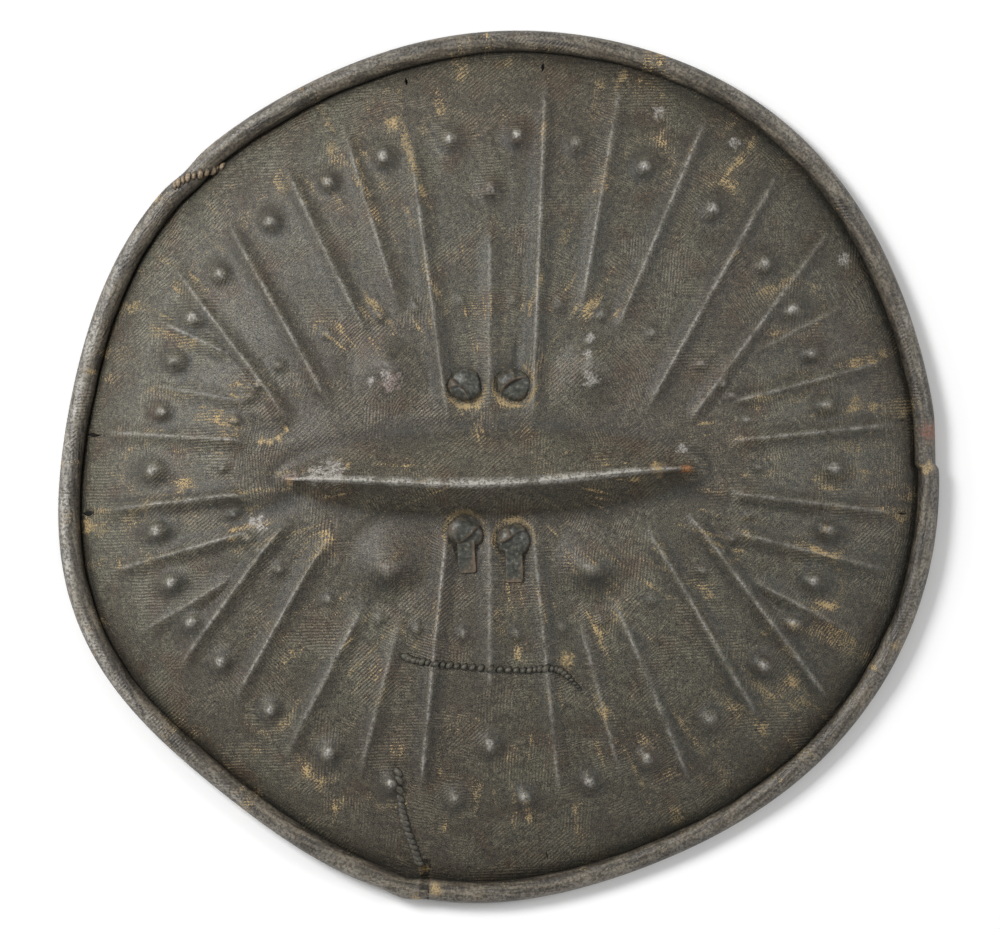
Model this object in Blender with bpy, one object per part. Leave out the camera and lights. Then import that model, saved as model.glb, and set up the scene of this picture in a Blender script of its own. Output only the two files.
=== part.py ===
"""A round hide shield with pressed ribs and bosses, lying on its back, face up.

The hide is one sheet, worked while wet over a form: a long ridge in the middle,
a dome falling away from it to a steeper shoulder, ribs that run out to the shoulder,
a ring of pointed bosses, and an edge rolled toward the face. Two leather straps pass through
the hide above and below the ridge and make the grip behind it, and three tears are
closed with thong. +X runs along the ridge, +Y is the shield's top and +Z its face.
"""

import math
from collections import namedtuple

import bmesh
import bpy
from mathutils import Vector
from mathutils.bvhtree import BVHTree

GAP = 0.0003

# Outline, measured from the middle of the ridge: times round, depth, bearing of a crest
RIM_RADIUS = 0.2966
OUTLINE_WAVES = (
    (1, 0.0075, 11),
    (2, 0.0038, 24),
    (3, 0.0018, -51),
    (4, 0.0010, -16),
    (5, 0.0029, -19),
    (6, 0.0018, 23),
    (7, 0.0012, -4),
)
RIM_WARP = 0.002
RIM_WARP_TIMES = 3

# Face, in shares of the way from the crest of the ridge (0) to the outline (1)
HIDE_THICKNESS = 0.005
DOME_HEIGHT = 0.050
DOME_CURVE = 2
SHOULDER_HEIGHT = 0.036
SHOULDER_CURVE = 6
END_DROOP = 0.010
OVAL_EVENNESS = 0.7

# Ridge
RIDGE_HALF = 0.136
RIDGE_HEIGHT = 0.030
RIDGE_END_HEIGHT = 0.008
RIDGE_END_BLUNTNESS = 6
RIDGE_SHARE = 0.10
RIDGE_HOLLOW = 1.3
RIDGE_DROP = 0.0045
RIDGE_TURN = 0.004
RIDGE_TURN_SHARE = 0.35
RIDGE_BOW = 0.007

# Rolled edge
ROLL_RADIUS = 0.0075
ROLL_LIFT = 0.0025

# Ribs of one quarter, from the ridge's line to the vertical: bearing and share of the
# root, in oval bearings, and bearing of the tip
RIB_HEIGHT = 0.0045
RIB_ROOT_FADE = (-0.04, 0.06)
RIB_END_FADE = 0.08
QUARTER_RIBS = (
    (12, 0.29, 6),
    (23.5, 0.37, 14.5),
    (28.5, 0.54, 25),
    (32, 0.22, 36),
    (47, 0.21, 46),
    (61, 0.37, 58),
    (70, 0.39, 69),
    (79, 0.14, 79.5),
)
MIDDLE_RIB = (90, 0.14, 90)

# Hand work, quarter by quarter: degrees by which each tip strays, and its reach
UPPER_RIGHT = ((0, 0.5, 0, 0.5, 1, 1, 3, 3), (0.92, 0.93, 0.88, 0.93, 0.92, 0.93, 0.92, 0.90))
UPPER_LEFT = ((-1, -1.5, -1, -1, 0, -1, -1.5, -2), (0.90, 0.80, 0.85, 0.87, 0.82, 0.86, 0.88, 0.78))
LOWER_LEFT = ((0.5, 1, 1, 0, 0, -2, 0, 0), (0.90, 0.90, 0.89, 0.84, 0.80, 0.84, 0.78, 0.78))
LOWER_RIGHT = ((0.5, 0, 0, 0, 0, 1, 0, 0), (0.93, 0.93, 0.92, 0.93, 0.83, 0.86, 0.78, 0.78))
MIDDLE_REACH = 0.56

# Bosses: share of the ring that they stand on, foot radius and height
RING_BOSS = (0.7365, 0.0100, 0.0065)
INNER_BOSS = (0.38, 0.0055, 0.0025)
LARGE_BOSS_PLACE = (0.068, 0.063)
LARGE_BOSS = (0.025, 0.012)
AXIS_BOSS_PLACE = 0.1875
AXIS_BOSS = (0.0085, 0.005)
BOSS_HOLLOW = 1.2

# The outer ring is rounder than the ovals by this share, eased in before it and out after
RING_ROUNDING = 0.022
RING_EASE = 0.035
RING_FADE_SHARE = 0.94

# Grip: two straps, each knotted on the face above and below the ridge
GRIP_HALF_SPACING = 0.0165
UPPER_KNOT = 0.0550
LOWER_KNOT = 0.0465
STRAP_WIDTH = 0.014
STRAP_THICKNESS = 0.004
STRAP_PLAY = 0.0008
STRAP_CORNER = 0.3
STRAP_STEPS = 12
STRAP_LEAVE = 0.0015
GRIP_DROP = 0.013
GRIP_PULL = 2.2

# Knots, from the top down: share of the height and of the radius
KNOT_RADIUS = 0.0110
KNOT_HEIGHT = 0.0085
KNOT_PROFILE = ((1.0, 0.55), (0.8, 0.85), (0.45, 1.0), (0.15, 0.95), (0.0, 0.80))
KNOT_NECK = 0.0001

# Tails, which start under the lower knots, in shares of the knot's radius and height
TAIL_WIDTH = 0.017
TAIL_LENGTH = 0.020
TAIL_THICKNESS = 0.0025
TAIL_STEPS = 5
TAIL_START = 0.4
TAIL_LIFT = 0.25
TAIL_TAPER = 0.08

# Slits just inside the roll, by bearing, and the break in the roll
SLIT_BEARINGS = (6.5, 82.5, 102.2, 175.4, 186.6, 278.3, 353.5)
SLIT_SHARE = 0.915
SLIT_LENGTH = 0.0075
SLIT_WIDTH = 0.0022
CUT_DEPTH = 6 * HIDE_THICKNESS
BREAK_BEARING = 261.1
BREAK_WIDTH = 0.0025
BREAK_SHARE = 0.90
BREAK_DEPTH = 12 * ROLL_RADIUS

# Thong over the tears: half width and rise of the lacing on the face, and its web
LACE_HALF = 0.0030
LACE_RISE = 0.0022
LACE_SHOULDER = (0.87, 0.55)
LACE_CROWN = 0.4
LACE_SINK = 0.0005
LACE_WEB = 0.0010
LACE_BACK_RISE = 0.0010
LACE_BACK_WIDTHS = (0.7, 0.55)

# Tears, by share and bearing on the face or, over the roll, by bearing and turn round it
CENTRE_TEAR = ((0.454, 252.1), (0.458, 257.5), (0.475, 283.6), (0.537, 287.8))
CENTRE_STEPS = 14
LOWER_TEAR = ((0.792, 255.7), (0.833, 256.8), (0.891, 258.7))
LOWER_STEPS = 5
RIM_TEAR_BEARINGS = (131.4, 137.0)
RIM_TEAR_TURN = (192, 25)
RIM_TEAR_STEPS = 6
RIM_TEAR_SEAT = 0.97

# How closely the skin follows the form: places across each gap between two ribs, and rows
# over the ridge, out to the inner bosses, on to the outer ring and round the roll
COLUMN_PLACES = (0, 0.22, 0.5, 0.78)
FACE_ROWS = (3, 3, 4)
BACK_ROWS = (1, 2, 2)
ROLL_ROWS = (4, 2)
CREST_STEP = 0.02
SLOPE_STEP = 0.004

HIDE_COLOUR = (0.115, 0.100, 0.080)
STRAP_COLOUR = (0.060, 0.058, 0.045)
THONG_COLOUR = (0.150, 0.120, 0.080)

Rib = namedtuple("Rib", "even root root_share tip reach")


def clear_scene():
    for item in list(bpy.data.objects):
        bpy.data.objects.remove(item, do_unlink=True)


def smooth(value, low, high):
    """0 below low, 1 above high, and an even curve between."""
    part = min(1.0, max(0.0, (value - low) / (high - low)))
    return part * part * (3 - 2 * part)


def material(name, colour, roughness, metallic=0.0):
    finish = bpy.data.materials.new(name)
    finish.use_nodes = True
    shader = finish.node_tree.nodes["Principled BSDF"]
    shader.inputs["Base Color"].default_value = (*colour, 1)
    shader.inputs["Roughness"].default_value = roughness
    shader.inputs["Metallic"].default_value = metallic
    return finish


def outline_radius(bearing):
    """Distance from the middle of the ridge to the outer edge."""
    waves = (
        depth * math.cos(times * (bearing - math.radians(crest)))
        for times, depth, crest in OUTLINE_WAVES
    )
    return RIM_RADIUS + sum(waves)


def oval_axes(share):
    """Half-lengths of the oval that lies this share of the way out to the rim."""
    spread = OVAL_EVENNESS * share + (1 - OVAL_EVENNESS) * share**4
    return RIDGE_HALF + (RIM_RADIUS - RIDGE_HALF) * spread, RIM_RADIUS * share


def oval_point(share, bearing):
    long_half, short_half = oval_axes(share)
    return Vector((long_half * math.cos(bearing), short_half * math.sin(bearing)))


def line_bearing(start, end, share):
    """Oval bearing at which the line from start through end crosses the oval of share."""
    long_half, short_half = oval_axes(share)
    begin = Vector((start.x / long_half, start.y / short_half))
    along = Vector(((end.x - start.x) / long_half, (end.y - start.y) / short_half))
    reach = along.dot(along)
    half = begin.dot(along)
    travel = (math.sqrt(half * half - reach * (begin.dot(begin) - 1)) - half) / reach
    meet = begin + along * travel
    return math.atan2(meet.y, meet.x) % math.tau


def make_ribs():
    """All the ribs in order of bearing, starting just above the ridge's line."""
    count = 4 * len(QUARTER_RIBS) + 2
    quarters = (
        (1, 1, *UPPER_RIGHT, 1),
        (-1, 1, *UPPER_LEFT, -1),
        (-1, -1, *LOWER_LEFT, 1),
        (1, -1, *LOWER_RIGHT, -1),
    )
    ribs = []
    for right, up, strays, reaches, order in quarters:
        quarter = []
        for (root, root_share, tip), stray, reach in zip(QUARTER_RIBS, strays, reaches):
            quarter.append((root, root_share, tip + stray, reach))
        middle = (*MIDDLE_RIB, MIDDLE_REACH)
        quarter = quarter + [middle] if order == 1 else quarter[::-1]
        for root, root_share, tip, reach in quarter:
            turned = []
            for bearing in (root, tip):
                angle = math.radians(bearing)
                turned.append(math.atan2(up * math.sin(angle), right * math.cos(angle)) % math.tau)
            even = (len(ribs) + 0.5) * math.tau / count
            ribs.append(Rib(even, turned[0], root_share, turned[1], reach))
    return ribs


RIBS = make_ribs()
COLUMNS = len(RIBS) * len(COLUMN_PLACES)


def rib_bearing(rib, share):
    """Oval bearing of a rib's line: straight from root to tip, spread evenly inside the root."""
    if share <= rib.root_share:
        return rib.even + (rib.root - rib.even) * share / rib.root_share
    root = oval_point(rib.root_share, rib.root)
    tip = Vector((math.cos(rib.tip), math.sin(rib.tip))) * RIM_RADIUS
    return line_bearing(root, tip, share)


def column_bearing(column, share):
    """Oval bearing of one of the columns, which run along the ribs and between them."""
    rib, place = divmod(column % COLUMNS, len(COLUMN_PLACES))
    here = rib_bearing(RIBS[rib], share)
    there = rib_bearing(RIBS[(rib + 1) % len(RIBS)], share)
    if there < here:
        there += math.tau
    return here + (there - here) * COLUMN_PLACES[place]


def ring_share(share, column):
    """Share of a row at one column, where the rows near the outer ring are rounded."""
    ring = RING_BOSS[0]
    near = smooth(share, INNER_BOSS[0], ring - RING_EASE)
    near *= 1 - smooth(share, ring + RING_EASE, RING_FADE_SHARE)
    return share - near * RING_ROUNDING * math.cos(2 * column_bearing(column, share))


def ridge_sway(share, bearing):
    """How far the ridge and what is near it lies above its straight line in plan."""
    along = math.cos(bearing)
    turn = (RIDGE_TURN * along - RIDGE_DROP) * max(0.0, 1 - share / RIDGE_TURN_SHARE)
    bow = RIDGE_BOW * (1 + math.cos(math.pi * along)) / 2 * max(0.0, 1 - share / RIDGE_SHARE)
    return turn - bow


def face_plan(share, bearing):
    """Place in plan of a point of the face."""
    point = oval_point(share, bearing)
    point *= 1 + (outline_radius(bearing) / RIM_RADIUS - 1) * share * share
    point.y += ridge_sway(share, bearing)
    return point


def face_height(share, bearing):
    """Height of the hide's face without ribs and bosses."""
    height = HIDE_THICKNESS + RIM_WARP * share * share * math.cos(RIM_WARP_TIMES * bearing)
    height += DOME_HEIGHT * (1 - share**DOME_CURVE)
    height += SHOULDER_HEIGHT * (1 - share**SHOULDER_CURVE)
    along = abs(math.cos(bearing))
    if share < RIDGE_SHARE:
        rise = RIDGE_HEIGHT + (RIDGE_END_HEIGHT - RIDGE_HEIGHT) * along**RIDGE_END_BLUNTNESS
        height += rise * (1 - share / RIDGE_SHARE) ** RIDGE_HOLLOW
    return height - END_DROOP * along**2 * (1 - share) ** 2


def face_point(share, bearing):
    plan = face_plan(share, bearing)
    return Vector((plan.x, plan.y, face_height(share, bearing)))


def face_upright(share, bearing):
    """Cosine of the face's slope; on the crest, the mean of its two flanks."""
    if share < CREST_STEP:
        return (face_upright(CREST_STEP, bearing) + face_upright(CREST_STEP, -bearing)) / 2
    outward = face_point(share + SLOPE_STEP, bearing) - face_point(share - SLOPE_STEP, bearing)
    around = face_point(share, bearing + SLOPE_STEP) - face_point(share, bearing - SLOPE_STEP)
    return abs(outward.cross(around).normalized().z)


def large_boss_places():
    side, rise = LARGE_BOSS_PLACE
    return [Vector((x, y)) for x in (-side, side) for y in (-rise, rise)]


def small_bosses():
    """Place, foot radius and height of each boss that is raised on the face only."""
    between = len(COLUMN_PLACES) // 2
    bosses = []
    for rib in range(len(RIBS)):
        column = rib * len(COLUMN_PLACES) + between
        share, radius, height = RING_BOSS
        share = ring_share(share, column)
        bosses.append((face_plan(share, column_bearing(column, share)), radius, height))
        share, radius, height = INNER_BOSS
        place = face_plan(share, column_bearing(column, share))
        crowded = min((place - large).length for large in large_boss_places())
        if crowded > LARGE_BOSS[0] + 2 * radius:
            bosses.append((place, radius, height))
    bosses += [(Vector((0, side * AXIS_BOSS_PLACE)), *AXIS_BOSS) for side in (-1, 1)]
    return bosses


def bump(distance, radius, height):
    """A pointed swelling with a flared foot."""
    if distance >= radius:
        return 0.0
    return height * (1 - distance / radius) ** BOSS_HOLLOW


def rib_rise(column, share):
    """Height of the rib that runs along this column, if one does."""
    rib, place = divmod(column % COLUMNS, len(COLUMN_PLACES))
    if place:
        return 0.0
    before, after = (RIBS[rib].root_share + fade for fade in RIB_ROOT_FADE)
    end = RIBS[rib].reach
    ending = 1 - smooth(share, end - RIB_END_FADE, end)
    return RIB_HEIGHT * smooth(share, before, after) * ending


def relief(kind, column, share, plan):
    """Height of the ribs and bosses; behind the hide the large ones are narrower and lower."""
    away = min((plan - place).length for place in large_boss_places())
    radius, height = LARGE_BOSS
    if kind == "back":
        narrowed = bump(away, radius - HIDE_THICKNESS, height - HIDE_THICKNESS)
        return rib_rise(column, share) / 2 + narrowed
    small = max(bump((plan - place).length, *sizes) for place, *sizes in SMALL_BOSSES)
    return rib_rise(column, share) + bump(away, radius, height) + small


def spaced(start, end, steps):
    """The values from start up to, but not with, end."""
    return [start + (end - start) * step / steps for step in range(steps)]


def hide_rows():
    """Rows of the hide's skin from the crest over the roll and back: kind and share or turn."""
    ring = RING_BOSS[0]
    foot = RING_BOSS[1] / RIM_RADIUS
    crease = 1 - 2 * ROLL_RADIUS / RIM_RADIUS
    ends = (0, RIDGE_SHARE, INNER_BOSS[0], ring - foot)
    face = []
    back = []
    for start, end, face_rows, back_rows in zip(ends, ends[1:], FACE_ROWS, BACK_ROWS):
        face += spaced(start, end, face_rows)
        back += spaced(start, end, back_rows)
    face += [ring - foot, ring, ring + foot, (ring + foot + crease) / 2]
    back += [ring]
    crease_turn = math.pi + math.asin(ROLL_LIFT / ROLL_RADIUS)
    over, under = ROLL_ROWS
    turns = spaced(crease_turn, 0, over) + spaced(0, -math.pi / 2, under) + [-math.pi / 2]
    rows = [("face", share) for share in face]
    rows += [("roll", turn) for turn in turns]
    rows += [("back", share) for share in reversed(back)]
    return rows


def hide_point(kind, value, column):
    """Place of one corner of the hide's skin."""
    if kind == "roll":
        bearing = column_bearing(column, 1)
        radius = outline_radius(bearing) + ROLL_RADIUS * (math.cos(value) - 1)
        crease = 1 - ROLL_RADIUS * (1 + math.cos(math.asin(ROLL_LIFT / ROLL_RADIUS))) / RIM_RADIUS
        centre = face_height(crease, bearing) + ROLL_LIFT
        height = centre + ROLL_RADIUS * math.sin(value)
        return Vector((radius * math.cos(bearing), radius * math.sin(bearing), height))
    share = ring_share(value, column)
    bearing = column_bearing(column, share)
    plan = face_plan(share, bearing)
    height = face_height(share, bearing) + relief(kind, column, share, plan)
    if kind == "back":
        height -= HIDE_THICKNESS / face_upright(share, bearing)
    return Vector((plan.x, plan.y, height))


SMALL_BOSSES = small_bosses()


def add_object(name, mesh, collection, finish=None):
    item = bpy.data.objects.new(name, mesh)
    collection.objects.link(item)
    if finish:
        mesh.materials.append(finish)
    return item


def mesh_from(name, shape):
    bmesh.ops.recalc_face_normals(shape, faces=shape.faces)
    if shape.calc_volume(signed=True) < 0:
        bmesh.ops.reverse_faces(shape, faces=shape.faces)
    mesh = bpy.data.meshes.new(name)
    shape.to_mesh(mesh)
    shape.free()
    return mesh


def hide_skin():
    """The hide as a tube of rows and columns, laid on the shield and closed along the crest."""
    rows = hide_rows()
    skin = bmesh.new()
    line = [skin.verts.new((1, 0, row)) for row in range(len(rows))]
    for low, high in zip(line, line[1:]):
        skin.edges.new((low, high))
    bmesh.ops.spin(
        skin, geom=skin.verts[:] + skin.edges[:], cent=(0, 0, 0), axis=(0, 0, 1),
        angle=math.tau, steps=COLUMNS, use_merge=True,
    )
    crests = {0: [], len(rows) - 1: []}
    for corner in skin.verts:
        column = round(math.atan2(corner.co.y, corner.co.x) / math.tau * COLUMNS)
        row = round(corner.co.z)
        corner.co = hide_point(*rows[row], column)
        if row in crests:
            crests[row].append(corner)
    for crest in crests.values():
        bmesh.ops.remove_doubles(skin, verts=crest, dist=0.00001)
    bmesh.ops.triangulate(skin, faces=skin.faces, quad_method="SHORT_EDGE")
    return mesh_from("shield_hide", skin)


def loft(name, sections):
    """A closed body through sections that have equally many corners each."""
    body = bmesh.new()
    rings = [[body.verts.new(corner) for corner in section] for section in sections]
    for near, far in zip(rings, rings[1:]):
        for index in range(len(near)):
            after = (index + 1) % len(near)
            body.faces.new((near[index], near[after], far[after]))
            body.faces.new((near[index], far[after], far[index]))
    body.faces.new(rings[0])
    body.faces.new(rings[-1])
    bmesh.ops.triangulate(body, faces=body.faces)
    return mesh_from(name, body)


class Surface:
    """The uncut hide, to seat other pieces on."""

    FAR = 0.05
    DISC_RINGS = (0.35, 0.7, 1.0)
    DISC_TURNS = 24

    def __init__(self, mesh):
        corners = [corner.co.copy() for corner in mesh.vertices]
        self.tree = BVHTree.FromPolygons(corners, [tuple(face.vertices) for face in mesh.polygons])

    def top(self, plan):
        hit = self.tree.ray_cast(Vector((plan[0], plan[1], 1)), Vector((0, 0, -1)))
        return hit[0]

    def normal(self, plan, reach=0.006):
        """Direction out of the face, evened over a small patch."""
        east = self.top((plan[0] + reach, plan[1])) - self.top((plan[0] - reach, plan[1]))
        north = self.top((plan[0], plan[1] + reach)) - self.top((plan[0], plan[1] - reach))
        return east.cross(north).normalized()

    def clearance(self, centre, up, radius):
        """How far along up a flat disc must move from centre to clear the face under it."""
        side = Vector((1, 0, 0))
        front = up.cross(side)
        lift = 0.0
        for ring in self.DISC_RINGS:
            for turn in range(self.DISC_TURNS):
                angle = math.tau * turn / self.DISC_TURNS
                start = centre + (side * math.cos(angle) + front * math.sin(angle)) * radius * ring
                hit = self.tree.ray_cast(start + up * self.FAR, -up)
                if hit[0]:
                    lift = max(lift, (hit[0] - centre).dot(up))
        return lift


def strap_section(centre, thick_way, half_width, half_thickness):
    """A flat band's section with its corners taken off."""
    corner = STRAP_CORNER * half_thickness
    outline = (
        (half_width, half_thickness - corner), (half_width - corner, half_thickness),
        (corner - half_width, half_thickness), (-half_width, half_thickness - corner),
        (-half_width, corner - half_thickness), (corner - half_width, -half_thickness),
        (half_width - corner, -half_thickness), (half_width, corner - half_thickness),
    )
    side = Vector((1, 0, 0))
    return [centre + side * across + thick_way * deep for across, deep in outline]


def knot_section(centre, thick_way, radius):
    """An eight-sided section in the order of the strap's corners."""
    side = Vector((1, 0, 0))
    corners = []
    for step in range(8):
        angle = math.tau * (step + 0.5) / 8
        corners.append(centre + side * radius * math.cos(angle) + thick_way * radius * math.sin(angle))
    return corners


def knot_sections(surface, centre, up, thick_way):
    """The knot on the face, from its top down to the neck that enters the hide."""
    seat = surface.clearance(centre, up, KNOT_RADIUS) + GAP
    sections = [
        knot_section(centre + up * (seat + KNOT_HEIGHT * rise), thick_way, KNOT_RADIUS * width)
        for rise, width in KNOT_PROFILE
    ]
    neck = centre + up * (seat + KNOT_NECK)
    sections.append(strap_section(neck, thick_way, STRAP_WIDTH / 2, STRAP_THICKNESS / 2))
    return sections


def knot_frame(surface, side, rise):
    """Place of a knot on the face and the direction that its neck takes through the hide."""
    centre = surface.top((side, rise))
    up = surface.normal((side, rise))
    up.x = 0
    up.normalize()
    return centre, up


def grip_strap(name, surface, side, collection, finish):
    """One strap from its upper knot through the hide, behind the ridge and out to its lower knot."""
    upper, upper_up = knot_frame(surface, side, UPPER_KNOT)
    lower, lower_up = knot_frame(surface, side, -LOWER_KNOT)
    leave = HIDE_THICKNESS + GAP + STRAP_LEAVE
    start = upper - upper_up * leave
    end = lower - lower_up * leave
    from_upper = start - upper_up * GRIP_PULL * GRIP_DROP
    from_lower = end - lower_up * GRIP_PULL * GRIP_DROP
    across = Vector((1, 0, 0))
    sections = knot_sections(surface, upper, upper_up, across.cross(upper_up))
    for step in range(STRAP_STEPS + 1):
        part = step / STRAP_STEPS
        rest = 1 - part
        place = start * rest**3 + from_upper * 3 * rest**2 * part
        place += from_lower * 3 * rest * part**2 + end * part**3
        travel = (from_upper - start) * rest**2 + (from_lower - from_upper) * 2 * rest * part
        travel += (end - from_lower) * part**2
        thick_way = travel.normalized().cross(across)
        sections.append(strap_section(place, thick_way, STRAP_WIDTH / 2, STRAP_THICKNESS / 2))
    sections += reversed(knot_sections(surface, lower, lower_up, lower_up.cross(across)))
    strap = add_object(name, loft(name, sections), collection, finish)
    return strap, ((upper, upper_up), (lower, lower_up))


def strap_tail(name, surface, side, cutters):
    """The loose end of a strap, lying on the face below the lower knot."""
    sections = []
    start = -LOWER_KNOT - KNOT_RADIUS * TAIL_START
    end = -LOWER_KNOT - KNOT_RADIUS - TAIL_LENGTH
    for step in range(TAIL_STEPS + 1):
        part = step / TAIL_STEPS
        rise = start + (end - start) * part
        half = TAIL_WIDTH / 2 * (1 - TAIL_TAPER * part)
        ends = [surface.top((side + across, rise)).z for across in (-half, 0, half)]
        foot = max(ends) + 2 * GAP + KNOT_HEIGHT * TAIL_LIFT * max(0.0, 1 - step / 2)
        sections.append([
            Vector((side - half, rise, foot)), Vector((side + half, rise, foot)),
            Vector((side + half, rise, foot + TAIL_THICKNESS)),
            Vector((side - half, rise, foot + TAIL_THICKNESS)),
        ])
    tail = add_object(name, loft(name, sections), cutters)
    hide_guide(tail)
    return tail


def hide_guide(item):
    item.hide_render = True
    item.display_type = "WIRE"


def add_boolean(item, other, operation, solver="EXACT"):
    change = item.modifiers.new(other.name, "BOOLEAN")
    change.object = other
    change.operation = operation
    change.solver = solver


def joined(name, meshes, collection):
    """One object of several bodies that stay apart."""
    together = bmesh.new()
    for mesh in meshes:
        together.from_mesh(mesh)
    mesh = bpy.data.meshes.new(name)
    together.to_mesh(mesh)
    together.free()
    item = add_object(name, mesh, collection)
    hide_guide(item)
    return item


def box_cutter(size, centre, axes):
    """A box whose sides run along the three given directions."""
    shape = bmesh.new()
    bmesh.ops.create_cube(shape, size=1)
    for corner in shape.verts:
        offset = corner.co.copy()
        corner.co = centre + sum((axis * size[i] * offset[i] for i, axis in enumerate(axes)), Vector())
    return mesh_from("box", shape)


def radial_axes(bearing):
    out = Vector((math.cos(bearing), math.sin(bearing), 0))
    up = Vector((0, 0, 1))
    return out, up.cross(out), up


def lens_cutter(length, width, centre, bearing):
    """A pointed slit along the given bearing."""
    shape = bmesh.new()
    bmesh.ops.create_cone(
        shape, cap_ends=True, segments=6, radius1=0.5, radius2=0.5, depth=CUT_DEPTH
    )
    out, around, up = radial_axes(bearing)
    for corner in shape.verts:
        offset = corner.co.copy()
        corner.co = centre + out * offset.x * length + around * offset.y * width + up * offset.z
    return mesh_from("lens", shape)


def lace_outline(grow, through):
    """Section of a lacing: a bead on the face and, through a tear, a web and a bead behind."""
    half = LACE_HALF + grow
    top = LACE_RISE + grow
    foot = -LACE_SINK - grow
    web = LACE_WEB / 2 + grow
    shoulder = (-LACE_SHOULDER[0] * half, LACE_SHOULDER[1] * top)
    bead = [(-half, foot), shoulder, (-LACE_CROWN * half, top)]
    if not through:
        return bead + [(-across, height) for across, height in reversed(bead)]
    back_top = -HIDE_THICKNESS + LACE_SINK + grow
    back_foot = -HIDE_THICKNESS - LACE_BACK_RISE - grow
    wide, narrow = (half * share for share in LACE_BACK_WIDTHS)
    left = [(-narrow, back_foot), (-wide, back_top), (-web, back_top), (-web, foot)] + bead
    return left + [(-across, height) for across, height in reversed(left)]


def lace_stations(surface, tear, steps):
    """Places along a tear on the face, each with the way out of the hide and the way across."""
    route = [face_plan(share, math.radians(bearing)) for share, bearing in tear]
    stretches = list(zip(route, route[1:]))
    total = sum(math.dist(*stretch) for stretch in stretches)
    places = []
    for step in range(steps + 1):
        left = total * step / steps
        for start, end in stretches:
            part = left / math.dist(start, end)
            if part <= 1:
                break
            left -= math.dist(start, end)
        places.append(start.lerp(end, min(1.0, part)))
    evened = [places[0]]
    for before, here, after in zip(places, places[1:], places[2:]):
        evened.append((before + 2 * here + after) / 4)
    evened.append(places[-1])
    up = sum((surface.normal(place) for place in evened), Vector()).normalized()
    stations = []
    for index, place in enumerate(evened):
        ahead = evened[min(index + 1, steps)] - evened[max(index - 1, 0)]
        travel = Vector((ahead.x, ahead.y, 0))
        across = travel.cross(up).normalized()
        stations.append((surface.top(place), up, across))
    return stations


def roll_stations(steps):
    """Places along the tear that crosses the rolled edge from its crease to its outer side."""
    stations = []
    for step in range(steps + 1):
        part = step / steps
        turn, bearing = (
            math.radians(first + (last - first) * part)
            for first, last in (RIM_TEAR_TURN, RIM_TEAR_BEARINGS)
        )
        radius = outline_radius(bearing) - ROLL_RADIUS
        crease = 1 - 2 * ROLL_RADIUS / RIM_RADIUS
        out = Vector((math.cos(bearing), math.sin(bearing), 0))
        around = Vector((-out.y, out.x, 0))
        centre = out * radius + Vector((0, 0, face_height(crease, bearing) + ROLL_LIFT))
        up = out * math.cos(turn) + Vector((0, 0, math.sin(turn)))
        along = out * math.sin(turn) - Vector((0, 0, math.cos(turn)))
        arc = ROLL_RADIUS * math.radians(RIM_TEAR_TURN[0] - RIM_TEAR_TURN[1])
        run = radius * math.radians(RIM_TEAR_BEARINGS[1] - RIM_TEAR_BEARINGS[0])
        travel = (along * arc + around * run).normalized()
        seat = centre + up * ROLL_RADIUS * RIM_TEAR_SEAT
        stations.append((seat, up, travel.cross(up).normalized()))
    return stations


def lacing(name, stations, through, grow=0.0):
    """A lacing along its stations, or with its sides moved out by grow, the seat it lies in."""
    outline = lace_outline(grow, through)
    sections = []
    for index, (place, up, across) in enumerate(stations):
        end = {0: -1, len(stations) - 1: 1}.get(index, 0)
        centre = place + up.cross(across) * end * grow
        sections.append([centre + across * side + up * height for side, height in outline])
    return loft(name, sections)


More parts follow.
